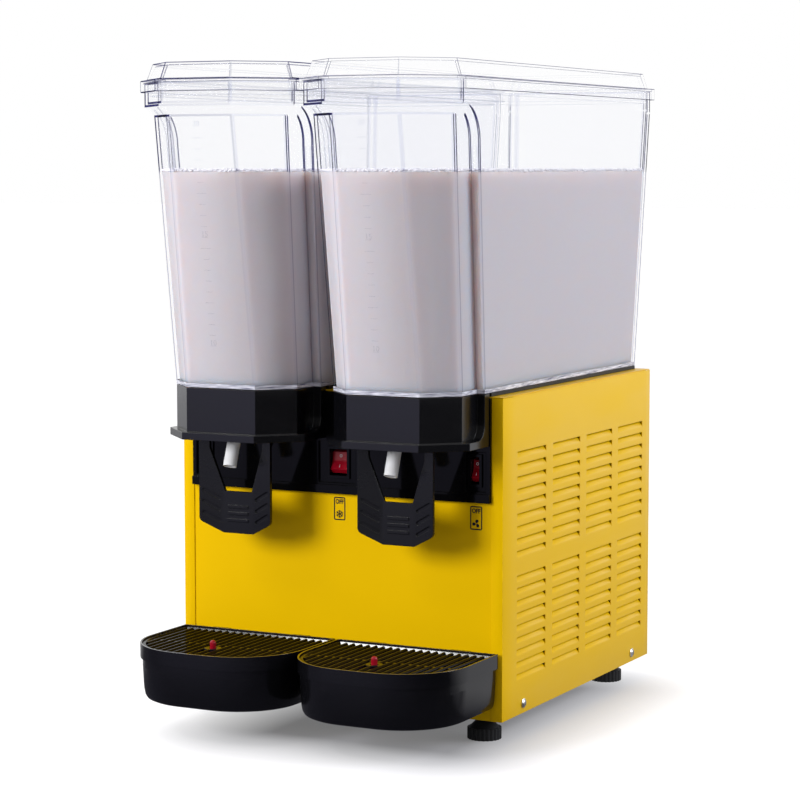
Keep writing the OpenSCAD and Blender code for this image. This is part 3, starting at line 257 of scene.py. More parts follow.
# Two tones, roughness, grain, then bump, dust, shine and rounding.
PAINT = finish("yellow_powder_coat", (0.85, 0.515, 0.001), (0.815, 0.49, 0.001), (0.32, 0.42), (420, 10), 0.9, 0,
               0.45, more={"Specular Tint": (1, 0.72, 0.04, 1)})
FASCIA = finish("polished_black", (0.0015, 0.0015, 0.002), (0.003, 0.003, 0.0035), (0.05, 0.12), (300, 8), 0.05,
                0.1, 0.15)
COWL = finish("satin_black", *SOOT, (0.16, 0.24), (1500, 16), 0.2, 0.08, 0.45, 0.7)
LEVER = finish("grained_black", *SOOT, (0.22, 0.32), (1900, 18), 0.35, 0.08, 0.4, 0.9)
TRAY = finish("gloss_black", *JET, (0.09, 0.18), (500, 12), 0.1, 0.3, 0.9)
GRILLE = finish("moulded_grille_black", *JET, (0.12, 0.2), (900, 20), 0.2, 0.08, 0.06)
DULL = finish("dull_black", (0.006, 0.006, 0.007), (0.012, 0.012, 0.013), (0.4, 0.58), (1200, 30), 0.8, 0.4, 0.3)
RED = finish("red_plastic", (0.31, 0.003, 0.013), (0.26, 0.002, 0.01), (0.2, 0.3), (1500, 40), 0.15, 0.1, 0.3, 0.5)
WHITE = finish("white_silicone", (0.8, 0.8, 0.79), (0.74, 0.74, 0.73), (0.34, 0.48), (1300, 50), 0.3, 0.1)
INK = finish("printed_ink", (0.006, 0.005, 0.012), (0.01, 0.009, 0.018), (0.4, 0.52), (2500, 80), 0.2, 0, 0.2)
MARK = finish("marking_ink", (0.62, 0.62, 0.64), (0.55, 0.55, 0.57), (0.4, 0.55), (2500, 80), 0.2)
RUBBER = finish("grey_rubber", (0.03, 0.03, 0.032), (0.045, 0.045, 0.046), (0.55, 0.75), (1500, 40), 0.8, 0.5)
ENAMEL = finish("compressor_enamel", (0.01, 0.01, 0.011), (0.018, 0.018, 0.02), (0.22, 0.36), (350, 12), 1.2, 0.8)
print("solid finishes:", len(bpy.data.materials))

# %% Bare metals
DRAWN = {"group": lines, "metal": 1}
STEEL = finish("rolled_steel", (0.6, 0.6, 0.61), (0.5, 0.5, 0.52), (0.22, 0.36), (90,), 0.2, 0.05, **DRAWN)
BRIGHT = finish("bright_screw_steel", (0.7, 0.69, 0.67), (0.55, 0.54, 0.53), (0.16, 0.28), (160,), 0.15, **DRAWN)
CAST = finish("grey_cast_metal", (0.24, 0.25, 0.26), (0.18, 0.19, 0.2), (0.4, 0.55), (900, 25), 1.5, 0.4, metal=0.6)
ALLOY = finish("aluminium_fins", (0.66, 0.67, 0.68), (0.52, 0.53, 0.55), (0.28, 0.42), (120,), 0.3, 0.2, **DRAWN)
COPPER = finish("drawn_copper", (0.62, 0.28, 0.15), (0.42, 0.17, 0.09), (0.22, 0.4), (70,), 0.3, 0.1, **DRAWN)
print("metals:", STEEL.name, BRIGHT.name, CAST.name, ALLOY.name, COPPER.name)


# %% [markdown]
# ## Clear plastic and the drink
# The tanks are moulded clear plastic. The shader refracts, and lets light straight through to what stands
# behind it, so that the drink inside is lit. Along its corners and its rims the light runs inside the wall, and
# the plastic looks dark blue: that dark blue is painted shade, a second, tinted finish, in narrow bands beside
# the tanks' edges and on the rounded edges of the lids.

# %% Clear plastic
WET, DRY = 0.572, 0.577  # heights in metres, where the drink ends
PLASTIC_IOR = 1.47


def clear(name, body, rough, straight, faint, turned, depth, edge_shade=None):
    """Clear plastic: mostly plain see-through, with some refraction. Its tint goes from faint to a painted dark
    edge shade where the surface turns away from the viewer. Walls further back in the same line of sight, and walls
    that the drink wets, stay fainter."""
    mat, tree, shader = material(name)
    wipes = place_effect(tree, dust, Cover=0)
    flow = place_effect(tree, skin, Grain=12, Flow=6)
    relief = shade(tree, "Bump", Strength=0.2, Distance=0.00002, Height=flow["Height"])
    fill(tree, shader, {"Transmission Weight": 1, "IOR": PLASTIC_IOR, "Base Color": (*body, 1),
                        "Roughness": ramp(tree, wipes["Smear"], 0, 1, rough, rough + 0.02),
                        "Normal": relief["Normal"]})
    away = shade(tree, "LayerWeight", Blend=0.5)["Facing"]
    path = shade(tree, "LightPath")
    nearest = ramp(tree, path["Transparent Depth"], *depth)
    dry = ramp(tree, axes(tree, own_place(tree))["Z"], WET, DRY, 0.3, 1)
    # The share of painted edge shade grows where the surface turns away, and on the nearest walls
    edge_shade_share = maths(tree, "MULTIPLY", ramp(tree, away, *turned), nearest)
    tint = mixed(tree, maths(tree, "MULTIPLY", edge_shade_share, dry), (*faint, 1), (*(edge_shade or faint), 1))
    through = shade(tree, "BsdfTransparent", Color=tint)[0]
    lit = maths(tree, "MAXIMUM", path["Is Shadow Ray"], path["Is Diffuse Ray"])
    plain = ramp(tree, away, 0.7, 1, straight, straight * 0.96)
    whole = shade(tree, "MixShader", _0=maths(tree, "MAXIMUM", lit, plain), _1=shader.outputs[0], _2=through)
    fill(tree, tree.nodes["Material Output"], {"Surface": whole[0]})
    return mat


CRYSTAL, BACK_WALLS = (0.99, 0.991, 0.995), (1.5, 4.5, 1, 0.5)
PALE = (0.95, 0.955, 0.97)
CLEAR = clear("clear_moulding", CRYSTAL, 0, 0.99, (0.986, 0.987, 0.993), (0.6, 1), BACK_WALLS)
# The edge finishes are painted shade: dark blue lines where light runs inside the wall
CLEAR_EDGE_SHADE = clear("clear_moulding_painted_edge_shade", (0.7, 0.71, 0.84), 0.02, 0.98, (0.93, 0.935, 0.965), (0.12, 0.45),
                   (1.5, 3.5, 1, 0.15), (0.03, 0.03, 0.15))
LID = clear("clear_lid", CRYSTAL, 0, 0.995, (0.998, 0.998, 0.999), (0.6, 1), BACK_WALLS)
LID_EDGE_SHADE = clear("clear_lid_painted_edge_shade", (0.9, 0.91, 0.95), 0.02, 0.98, (0.96, 0.965, 0.98), (0.05, 0.5),
                 (0.5, 2, 1, 0.06), (0.03, 0.03, 0.16))
FROST = clear("embossed_scale", PALE, 0.18, 0.8, PALE, (0.2, 0.8), BACK_WALLS, (0.8, 0.81, 0.86))
print("clear finishes:", CLEAR.name, CLEAR_EDGE_SHADE.name, LID.name, LID_EDGE_SHADE.name, FROST.name)

# %% Sill, drink and foam
# Painted light: the ring round each tank's foot, with bright and dark streaks, stands in for light in the tank's
# clear floor
PAINTED_FOOT_LIGHT = finish("painted_foot_light", (0.95, 0.95, 1), (0.1, 0.1, 0.17), (0.1, 0.2), (55,), group=lines)
DRINK = finish("white_drink", (0.565, 0.53, 0.547), (0.556, 0.521, 0.537), (0.5, 0.54), (20, 7), 0,
               shine=0.1, more={"Subsurface Weight": 1, "Subsurface Radius": (1, 0.7, 0.55),
                                "Subsurface Scale": 0.04})
FOAM = finish("drink_foam", (0.88, 0.87, 0.9), (0.8, 0.78, 0.82), (0.35, 0.5), (900, 60), 0.6)
print("finishes of the drink:", PAINTED_FOOT_LIGHT.name, DRINK.name, FOAM.name)


# %% [markdown]
# ## Small tools for shapes
# Points and faces are gathered into a loose object, its modifiers are worked out, and what is left is a plain
# mesh that is shown as a piece of the model.

# %% Mesh helpers
STAY = (0, 0, 0)


def body_of(node):
    return frame["nodes"][node]["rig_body"]


def coated(mesh, *mats):
    mesh.materials.clear()
    for mat in mats:
        mesh.materials.append(mat)


def shown(name, mesh, body, mats, nodes=()):
    """Puts a finished mesh into the scene as a piece that rides on a body and stands for CAD nodes."""
    piece = placed(name, mesh)
    layers = [face.material_index for face in mesh.polygons]
    coated(mesh, *mats)
    mesh.polygons.foreach_set("material_index", layers)
    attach(piece, body)
    if nodes:
        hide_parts(*nodes)
    print(name, len(mesh.polygons), "faces")
    return piece


def loose(name, points, faces, edges=()):
    """A mesh object from points of the scene, in metres."""
    mesh = bpy.data.meshes.new(name)
    mesh.from_pydata(points, edges, faces)
    return placed(name, mesh)


def there(points):
    return [at(*p) for p in points]


def small(points):
    """Millimetres about the scene's origin, in metres."""
    return [Vector(p) / 1000 for p in points]


def gather(parts):
    """Joins (points, faces, shift) lists into one."""
    verts, faces = [], []
    for pts, loops, (dx, dy, dz) in parts:
        faces += [tuple(len(verts) + i for i in f) for f in loops]
        verts += [(x + dx, y + dy, z + dz) for x, y, z in pts]
    return verts, faces


def capped(n):
    """Faces of a closed solid between two rings of n points."""
    ends = [tuple(range(n)), tuple(range(2 * n - 1, n - 1, -1))]
    return ends + [(i, n + i, n + (i + 1) % n, (i + 1) % n) for i in range(n)]


def circle(r, sides):
    return [(r * math.cos(math.tau * i / sides), r * math.sin(math.tau * i / sides)) for i in range(sides)]


def arc(cx, cy, r, start, steps):
    """A quarter of a circle, from an angle in degrees."""
    angles = [math.radians(start + 90 * i / steps) for i in range(steps + 1)]
    return [(cx + r * math.cos(a), cy + r * math.sin(a)) for a in angles]


# %% Modifiers and finished meshes
def modified(piece, name, kind, **settings):
    modifier = piece.modifiers.new(name, kind)
    for label, value in settings.items():
        setattr(modifier, label, value)
    return modifier


def worked_out(piece):
    """A piece's mesh after its modifiers."""
    bpy.context.view_layer.update()
    return bpy.data.meshes.new_from_object(piece.evaluated_get(bpy.context.evaluated_depsgraph_get()))


def taken(*pieces):
    """The finished mesh of the first piece. It and the spares after it leave the scene."""
    mesh = worked_out(pieces[0])
    for piece in pieces:
        bpy.data.objects.remove(piece)
    return mesh


def opened(mesh):
    shape = bmesh.new()
    shape.from_mesh(mesh)
    return shape


def to_mesh(shape, mesh):
    shape.to_mesh(mesh)
    shape.free()
    return mesh


def outward(mesh):
    """Turns all faces outward."""
    shape = opened(mesh)
    bmesh.ops.recalc_face_normals(shape, faces=shape.faces)
    return to_mesh(shape, mesh)


def smooth(mesh, angle):
    """Soft shading, with edges sharper than an angle left sharp."""
    mesh.shade_smooth()
    mesh.set_sharp_from_angle(angle=math.radians(angle))


# %% [markdown]
# ## From a CAD solid to a piece with soft edges
# A real edge is never perfectly sharp: it is rounded by the mould, the press or the paint, and it catches the
# light. A copy of each CAD solid is merged and cleaned, and the Bevel modifier rounds its sharp edges.

# %% Softening helper
SAME_POINT, SAME_PLANE = 2e-6, math.radians(0.3)


def clean_copy(node):
    shape = opened(frame["nodes"][node].data)
    bmesh.ops.remove_doubles(shape, verts=shape.verts, dist=SAME_POINT)
    bmesh.ops.dissolve_limit(shape, angle_limit=SAME_PLANE, verts=shape.verts, edges=shape.edges)
    mesh = to_mesh(shape, bpy.data.meshes.new(node + "_soft"))
    spare = mesh.attributes.get("custom_normal")
    if spare:
        mesh.attributes.remove(spare)
    mesh.shade_smooth()
    return mesh


def softened(node, mats, round_mm, angle=34, steps=2):
    piece = shown(node + "_soft", clean_copy(node), body_of(node), mats, [node])
    edge = modified(piece, "rounded edges", "BEVEL", width=round_mm / 1000, segments=steps, limit_method="ANGLE",
                    angle_limit=math.radians(angle), harden_normals=True, miter_outer="MITER_ARC")
    if len(mats) > 1:
        edge.material = 1


# %% Cabinet panels, fascia, cowls, levers and trays
for node in ("front_panel", "rear_panel", "top_deck"):
    softened(node, [PAINT], 0.35)
softened("control_fascia", [FASCIA], 0.5)
for hand, _ in HANDS:
    for kind, mat, round_mm, slot in (
            ("collar_", COWL, 0.7, "black_gloss"), ("tap_lever_", LEVER, 0.3, "black_gloss"),
            ("drip_tray_", TRAY, 0.45, "black_gloss"), ("tank_seat_", DULL, 0.6, "black_matte"),
            ("float_", RED, 0.5, "red_plastic"), ("outlet_tube_", WHITE, 0.35, "white_rubber")):
        softened(kind + hand, [mat], round_mm)

# %% Switches, feet, screws and the cord gland
for spot in ("left", "centre", "right"):
    softened("switch_body_" + spot, [FASCIA], 0.4)
    softened("rocker_" + spot, [RED], 0.5)
for corner in ("front_left", "front_right", "rear_left", "rear_right"):
    softened("foot_" + corner, [DULL], 0.5)
softened("panel_screws", [BRIGHT], 0.25)
softened("cord_gland", [DULL], 0.5)

# %% Tanks and lids
NARROW = 0.6  # a band's widest share of a slender face
SLOPING, SLOPING_SHARE = 0.25, 0.4  # faces that lean more than this have narrower bands
UPRIGHT, ALONG, CORNER_REACH = 0.6, 0.9, 2


def lined(node, mats, band_mm, angle=20):
    """A CAD solid with a narrow band of the second finish, the painted dark edge shade, beside the edges of its
    upright faces, but not along the level edges of its sides, where the light passes straight through."""
    shape = opened(clean_copy(node))
    sharp = {edge for edge in shape.edges if edge.calc_face_angle(0.0) > math.radians(angle)}
    banded = 0
    for face in list(shape.faces):
        if sharp.isdisjoint(face.edges):
            continue
        width = min(band_mm / 1000, NARROW * face.calc_area() / face.calc_perimeter())
        if abs(face.normal.z) > SLOPING:
            width *= SLOPING_SHARE
        band = bmesh.ops.inset_individual(shape, faces=[face], thickness=width, use_even_offset=True)["faces"]
        inner = set(face.verts)
        for vert in inner:
            root = next(e.other_vert(vert) for e in vert.link_edges if e.other_vert(vert) not in inner)
            reach = vert.co - root.co
            if reach.length > CORNER_REACH * width:
                vert.co = root.co + reach.normalized() * CORNER_REACH * width
        for strip in band:
            ways = [(edge.verts[1].co - edge.verts[0].co).normalized() for edge in strip.edges if edge in sharp]
            level = abs(face.normal.x) > ALONG and all(abs(way.y) > ALONG for way in ways)
            if ways and abs(face.normal.z) < UPRIGHT and not level:
                strip.material_index = 1
                banded += 1
    mesh = to_mesh(shape, bpy.data.meshes.new(node + "_lined"))
    smooth(mesh, angle)
    print(node, "has", banded, "bands")
    shown(node + "_lined", mesh, body_of(node), mats, [node])


# Tanks get bands of painted edge shade; the lids' rounded edges take it through the Bevel modifier
for hand, _ in HANDS:
    lined("tank_" + hand, [CLEAR, CLEAR_EDGE_SHADE], 2.2)
    softened("lid_" + hand, [LID, LID_EDGE_SHADE], 2.0, angle=20, steps=3)


# %% [markdown]
# ## The drink
# The drink has the tank's own inner shape, so it is made from the same plan: a nose that leans forward, and a
# body that stops short of the steps beside it. It stands a hair inside the wall, so that no air shows between
# them, and it leaves room for the cooling drum and the mixer. Light spreads inside the drink, so the faces of the
# nose share smooth normals and their tones run into each other.

# %% Plans of a tank
LEVEL, FLOOR, NECK, RIM, WALL = 569.5, 353.9, 626.5, 634.5, 2.92
FOOT, STEP_Y, STEP_LEAN, STEP_TALL = 350, -15, 27, 246.5
# Half the width, half the front face, the front and the rear.
NOSE_FOOT, NOSE_NECK = (71.5, 40.3, 80.6, 392.5), (77.5, 37.5, 119, 412)
BODY_FOOT, BODY_RIM = (80, 41, 128, 392.5), (87, 41, 128, 415)
NOSE_SHARE, BODY_SHARE = (LEVEL - FLOOR) / (NECK - FLOOR), (LEVEL - FLOOR) / (RIM + WALL - FLOOR)


def plan(half, face, front, rear, d, cut=6.0):
    """The outline of a tank, drawn in by d."""
    half, face, front, rear = half - d, face - d * math.tan(math.radians(22.5)), front - d, rear - d
    return [(-half + cut, rear), (-half, rear - cut), (-half, -front + half - face), (-face, -front),
            (face, -front), (half, -front + half - face), (half, rear - cut), (half - cut, rear)]


def between(low, high, d, t):
    """An outline at a share t of the way between two plans."""
    pairs = zip(plan(*low, d), plan(*high, d))
    return [(a[0] + (b[0] - a[0]) * t, a[1] + (b[1] - a[1]) * t) for a, b in pairs]


def step_y(d, z):
    """Depth of the steps beside the nose at a height, d in front of them."""
    return STEP_Y - d - STEP_LEAN * (z - FOOT) / STEP_TALL


def level_ring(middle, points, z):
    return [at(middle + x, y, z) for x, y in points]


# %% Solids to pour and to cut
def prism(name, low, high):
    """A closed solid between two rings of points."""
    shape = bmesh.new()
    verts = [shape.verts.new(p) for p in low + high]
    for face in capped(len(low)):
        shape.faces.new([verts[i] for i in face])
    bmesh.ops.recalc_face_normals(shape, faces=shape.faces)
    return placed(name, to_mesh(shape, bpy.data.meshes.new(name)))


def joined(target, tool, kind):
    modified(target, kind, "BOOLEAN", operation=kind, solver="EXACT", object=tool)
    mesh = worked_out(target)
    target.modifiers.clear()
    target.data = mesh
    bpy.data.objects.remove(tool)


def round_plug(name, x, y, r, z0, z1, sides):
    ring = [(x + px, y + py) for px, py in circle(r, sides)]
    return prism(name, level_ring(0, ring, z0), level_ring(0, ring, z1))


# %% Pour the drink
REAR_FROM, SOFT_NOSE, UNDER, STEP_LOW, FAR, ASIDE = 300, 50, 340, 330, -300, 120
PLUGS = (("drum", 238, 48.5, 476.6, 48), ("seal", 238, 52.2, 355, 48), ("stirrer", 92, 36, 396, 48),
         ("outlet", -48, 3.7, 358, 24))
for hand, middle in HANDS:
    drink = prism("drink_" + hand, level_ring(middle, plan(*BODY_FOOT, WALL), FLOOR),
                  level_ring(middle, between(BODY_FOOT, BODY_RIM, WALL, BODY_SHARE), LEVEL))
    top = FOOT + STEP_TALL
    steps = [(FAR, STEP_LOW), (STEP_Y + WALL, STEP_LOW), (STEP_Y + WALL, FOOT),
             (STEP_Y - STEP_LEAN + WALL, top), (FAR, top)]
    joined(drink, prism("step", [at(middle - ASIDE, y, z) for y, z in steps],
                        [at(middle + ASIDE, y, z) for y, z in steps]), "DIFFERENCE")
    joined(drink, prism("nose", level_ring(middle, plan(*NOSE_FOOT, WALL), FLOOR),
                        level_ring(middle, between(NOSE_FOOT, NOSE_NECK, WALL, NOSE_SHARE), LEVEL)), "UNION")
    for name, y, r, high, sides in PLUGS:
        joined(drink, round_plug(name, middle, y, r, UNDER, high, sides), "DIFFERENCE")
    mesh = taken(drink)
    smooth(mesh, SOFT_NOSE)
    for edge in mesh.edges:
        if min(mesh.vertices[i].co.y for i in edge.vertices) > at(0, REAR_FROM, 0).y:
            edge.use_edge_sharp = True
    shown("drink_" + hand, mesh, "tank_" + hand, [DRINK])

# %% [markdown]
# ## Geometry Nodes helper
# What repeats is made by Geometry Nodes: a tree with named inputs, whose result is turned into a plain mesh.

# %% Geometry Nodes helper
class Tree:
    """A small wrapper that builds a Geometry Nodes tree with named inputs, the last of them a finish."""

    def __init__(self, name, **inputs):
        self.tree = bpy.data.node_groups.new(name, "GeometryNodeTree")
        socket = self.tree.interface.new_socket
        socket("Geometry", in_out="OUTPUT", socket_type="NodeSocketGeometry")
        self.ids = {label: socket(label, in_out="INPUT", socket_type="NodeSocket" + kind).identifier
                    for label, kind in {"Geometry": "Geometry", **inputs, "Finish": "Material"}.items()}
        self.enter = self.tree.nodes.new("NodeGroupInput").outputs
        self.leave = self.tree.nodes.new("NodeGroupOutput").inputs["Geometry"]

    def __getitem__(self, label):
        return self.enter[label]

    def add(self, kind, settings=None, **links):
        """The first output of a new node of geometry."""
        return put(self.tree, "GeometryNode" + kind, settings, **links)[0]

    def sums(self, kind, a, b=0.0, c=0.5):
        return shade(self.tree, "Math", {"operation": kind}, _0=a, _1=b, _2=c)[0]

    def vector(self, **parts):
        return shade(self.tree, "CombineXYZ", **parts)[0]

    def chance(self, kind, **links):
        return put(self.tree, "FunctionNodeRandomValue", {"data_type": kind}, Seed=self["Seed"], **links)

    def shape(self, label):
        """The shape of an object among the inputs."""
        return put(self.tree, "GeometryNodeObjectInfo", Object=self[label])["Geometry"]

    def join(self, *parts):
        both = self.tree.nodes.new("GeometryNodeJoinGeometry")
        for part in parts:
            self.tree.links.new(part, both.inputs[0])
        return both.outputs[0]

    def close(self, shape):
        whole = self.add("RealizeInstances", Geometry=shape)
        done = self.add("SetMaterial", Geometry=whole, Material=self["Finish"])
        self.tree.links.new(done, self.leave)
        print("tree", self.tree.name, "with", len(self.tree.nodes), "nodes")

    def run(self, piece, **values):
        modifier = modified(piece, self.tree.name, "NODES", node_group=self.tree)
        for label, value in values.items():
            modifier[self.ids[label]] = value


# %% [markdown]
# ## Louvred side panels
# The press cuts each louvre on three sides and pushes its upper edge in, so it leaves the sheet in a soft curve
# at its foot. One louvre with its share of flat sheet is a tile, and the tree lays the tiles in columns and rows.

# %% Louvre tiles and the border of the sheet
CELL_Y, CELL_Z, L_HIGH, L_DEEP = 90.2, 12.66, 6.0, 4.4
SHEET_Y, SHEET_TOP, SIDE_X, RETURN = 34.6 - 9.1, 288.5 + 3.33, 186.0, 12.4
SHEET_FRONT, SHEET_REAR, SHEET_LOW, SHEET_HIGH = -1.0, 400.0, 18.0, 345.0
COLS, ROWS, PLAIN = 4, 19, 9
L_STEPS, L_CUT, L_LIP, L_FOOT, L_STRAIGHT, L_CURVED = 6, 0.12, 0.4, 0.045, 0.35, 0.65
SAME_LINE, SAME_CORNER = 0.01, 0.00004  # millimetres, and metres for the tree
cuts_y, cuts_z = (0.0, 9.1, 81.1, CELL_Y), (0.0, 3.33, 9.33, CELL_Z)


def turned_out(faces, side):
    """Side is -1 or 1 for the outside's direction."""
    return [f if side > 0 else f[::-1] for f in faces]


def tile(name, side, plain):
    """One louvre or a plain piece of sheet. Its front lower corner is at the scene's origin."""
    verts = [(0.0, y, z) for z in cuts_z for y in cuts_y]
    faces = [(j * 4 + i, j * 4 + i + 1, j * 4 + i + 5, j * 4 + i + 4)
             for j in range(3) for i in range(3) if plain or (i, j) != (1, 1)]
    if not plain:
        rows = [(5, 6)]
        for k in range(1, L_STEPS + 1):
            t = k / L_STEPS
            depth = L_DEEP * (L_STRAIGHT * t + L_CURVED * t * t) if k > 1 else L_DEEP * L_FOOT
            for y in (cuts_y[1] + L_CUT, cuts_y[2] - L_CUT):
                verts.append((-side * depth, y, cuts_z[1] + L_HIGH * t - (L_LIP if k == L_STEPS else 0)))
            rows.append((len(verts) - 2, len(verts) - 1))
        faces += [(a[0], a[1], b[1], b[0]) for a, b in zip(rows, rows[1:])]
    return loose(name, small(verts), turned_out(faces, side))


def spaced(values):
    return [v for i, v in enumerate(values) if i == 0 or v - values[i - 1] > SAME_LINE]


def sheet_border(side):
    """The sheet round the louvres, with its returns at the front and on top."""
    low = SHEET_TOP - ROWS * CELL_Z
    ys = sorted({SHEET_Y + c * CELL_Y + y for c in range(COLS) for y in cuts_y})
    zs = sorted({low + r * CELL_Z + z for r in range(ROWS) for z in cuts_z})
    ys, zs = spaced([SHEET_FRONT, *ys, SHEET_REAR]), spaced([SHEET_LOW, *zs, SHEET_HIGH])
    quads, inner = [], SIDE_X - RETURN
    for z, z_next in zip(zs, zs[1:]):
        for y, y_next in zip(ys, ys[1:]):
            if y == ys[0] or y_next == ys[-1] or z == zs[0] or z_next == zs[-1]:
                quads.append([(SIDE_X, y, z), (SIDE_X, y_next, z), (SIDE_X, y_next, z_next), (SIDE_X, y, z_next)])
        corners = [(inner, z), (SIDE_X, z), (SIDE_X, z_next), (inner, z_next)]
        quads.append([(x, SHEET_FRONT, up) for x, up in corners])
    for y, y_next in zip(ys[1:-2], ys[2:]):
        corners = [(SIDE_X, y), (SIDE_X, y_next), (inner, y_next), (inner, y)]
        quads.append([(x, along, SHEET_HIGH) for x, along in corners])
    verts = [(side * x, y, z) for quad in quads for x, y, z in quad]
    return there(verts), turned_out([tuple(range(i, i + 4)) for i in range(0, len(verts), 4)], side)


# %% Tree that lays the louvres
lay = Tree("louvred_sheet", Columns="Int", Rows="Int", Plain="Int", Across="Vector", Down="Vector", Start="Vector",
           Louvre="Object", Blank="Object")
first = lay.add("MeshLine", Count=lay["Columns"], Start_Location=lay["Start"], Offset=lay["Across"])
column = lay.add("MeshLine", Count=lay["Rows"], Offset=lay["Down"])
spots = lay.add("RealizeInstances", Geometry=lay.add("InstanceOnPoints", Points=first, Instance=column))
row = lay.sums("MODULO", lay.add("InputIndex"), lay["Rows"])
plain = lay.sums("COMPARE", row, lay["Plain"], 0.1)
pressed = lay.sums("SUBTRACT", 1.0, plain)
with_louvre = lay.add("InstanceOnPoints", Points=spots, Selection=pressed, Instance=lay.shape("Louvre"))
with_blank = lay.add("InstanceOnPoints", Points=spots, Selection=plain, Instance=lay.shape("Blank"))
whole = lay.add("RealizeInstances", Geometry=lay.join(with_blank, with_louvre, lay["Geometry"]))
lay.close(lay.add("MergeByDistance", Geometry=whole, Distance=SAME_CORNER))

# %% Both side panels
THICKNESS, FOLD, FOLD_ANGLE, FLAT_ANGLE = 0.001, 0.0004, math.radians(50), 40
for hand, side in (("left", -1), ("right", 1)):
    name = "side_panel_" + hand
    sheet = loose(name + "_pressed", *sheet_border(side))
    louvre_tile, blank_tile = tile("louvre_tile", side, False), tile("blank_tile", side, True)
    lay.run(sheet, Columns=COLS, Rows=ROWS, Plain=PLAIN, Across=(0, CELL_Y / 1000, 0),
            Down=(0, 0, -CELL_Z / 1000), Start=at(side * SIDE_X, SHEET_Y, SHEET_TOP - CELL_Z),
            Louvre=louvre_tile, Blank=blank_tile, Finish=PAINT)
    # The inner faces of the sheet take the dull black finish: painted shade for the dark inside of the cabinet,
    # where the real sheet is yellow on both faces
    modified(sheet, "sheet thickness", "SOLIDIFY", thickness=THICKNESS, offset=-1, material_offset=1)
    coated(sheet.data, PAINT, DULL)
    modified(sheet, "fold", "BEVEL", width=FOLD, segments=2, limit_method="ANGLE", angle_limit=FOLD_ANGLE)
    mesh = taken(sheet, louvre_tile, blank_tile)
    smooth(mesh, FLAT_ANGLE)
    shown(name + "_pressed", mesh, "cabinet", [PAINT, DULL], [name])

# %% [markdown]
# ## Ribbed drip grilles
# The ribs run from front to rear and end at the frame, so the outer ones are shorter: the tree works out each
# rib's length from the rounded corner of the tray.

# %% Grille frame and rib
T_HALF, T_REACH, T_CORNER, T_REAR, FLOAT_Y = 90.75, 145.0, 72.0, -5.2, -99
G_LOW, G_TOP, PITCH, INSET, RIB_GAP, SOFT = 82.3, 86.9, 8.6, 2.2, 4.6, 0.6
RIM_EDGE = [(INSET, G_LOW), (INSET, G_TOP - SOFT), (INSET + SOFT, G_TOP), (INSET + 3.35, G_TOP),
            (INSET + 5, G_TOP - 2.4), (INSET + 5, G_LOW)]
EYE_EDGE = [(9.0, G_LOW), (9.0, G_TOP - SOFT), (8.4, G_TOP), (4.6, G_TOP), (4.0, G_TOP - SOFT), (4.0, G_LOW)]
RAIL = [(-82.0, G_LOW), (-82.0, G_TOP - 1.2), (-78.0, G_TOP - 1.2), (-78.0, G_LOW)]
RIB = [(-1.9, G_LOW), (-1.8, G_TOP - 2.2), (-1.2, G_TOP - SOFT), (-0.4, G_TOP), (0.4, G_TOP), (1.2, G_TOP - SOFT),
       (1.8, G_TOP - 2.2), (1.9, G_LOW)]


def tray_plan(d, rear, steps=20):
    x, y, r = T_HALF - T_CORNER, -T_REACH + T_CORNER, T_CORNER - d
    corners = arc(-x, y, r, 180, steps) + arc(x, y, r, 270, steps)
    return [(-T_HALF + d, rear), *corners, (T_HALF - d, rear)]


def ring_mesh(rings, closed=True):
    """Quads between rings of equal length, the last joined to the first. A ring may also be an open row."""
    verts, faces, n = [p for ring in rings for p in ring], [], len(rings[0])
    for k in range(len(rings)):
        a, b = k * n, ((k + 1) % len(rings)) * n
        faces += [(a + i, a + (i + 1) % n, b + (i + 1) % n, b + i) for i in range(n if closed else n - 1)]
    return verts, faces


def grille_frame(middle):
    """The rim, the cross rail and the eye round the float."""
    rim = ring_mesh([[(x, y, z) for x, y in tray_plan(d, T_REAR - d)] for d, z in RIM_EDGE])
    rail = [(s * (T_HALF - INSET - 4), y, z) for s in (-1, 1) for y, z in RAIL]
    eye = ring_mesh([[(x, y, z) for x, y in circle(r, 40)] for r, z in EYE_EDGE])
    return gather([(*rim, (middle, 0, 0)), (rail, capped(4), (middle, 0, 0)), (*eye, (middle, FLOAT_Y, 0))])


def rib_bar(y0, y1, x=0.0):
    """A straight rib between two depths of the scene, in metres."""
    return [(x + px / 1000, y, pz / 1000 + BASE) for y in (y0, y1) for px, pz in RIB], capped(len(RIB))


# %% Tree that lays the ribs
ribs = Tree("grille_ribs", Ribs="Int", Pitch="Float", First="Vector", Middle="Float", Straight="Float",
            Corner="Float", Corner_y="Float", Rear="Float", Rib="Object")
step = ribs.vector(X=ribs["Pitch"])
line = ribs.add("MeshLine", Count=ribs["Ribs"], Start_Location=ribs["First"], Offset=step)
where = axes(ribs.tree, ribs.add("InputPosition"))
aside = ribs.sums("ABSOLUTE", ribs.sums("SUBTRACT", where["X"], ribs["Middle"]))
aside = ribs.sums("MAXIMUM", ribs.sums("SUBTRACT", aside, ribs["Straight"]), 0.0)
square = ribs.sums("MULTIPLY", ribs["Corner"], ribs["Corner"])
drop = ribs.sums("SQRT", ribs.sums("SUBTRACT", square, ribs.sums("MULTIPLY", aside, aside)))
front = ribs.sums("SUBTRACT", ribs["Corner_y"], drop)
length = ribs.sums("SUBTRACT", ribs["Rear"], front)
centre = ribs.sums("MULTIPLY", ribs.sums("ADD", ribs["Rear"], front), 0.5)
line = ribs.add("SetPosition", Geometry=line, Position=ribs.vector(X=where["X"], Y=centre, Z=where["Z"]))
in_middle = ribs.sums("COMPARE", where["X"], ribs["Middle"], 0.001)
line = ribs.add("DeleteGeometry", Geometry=line, Selection=in_middle)
size = ribs.vector(X=1.0, Y=length, Z=1.0)
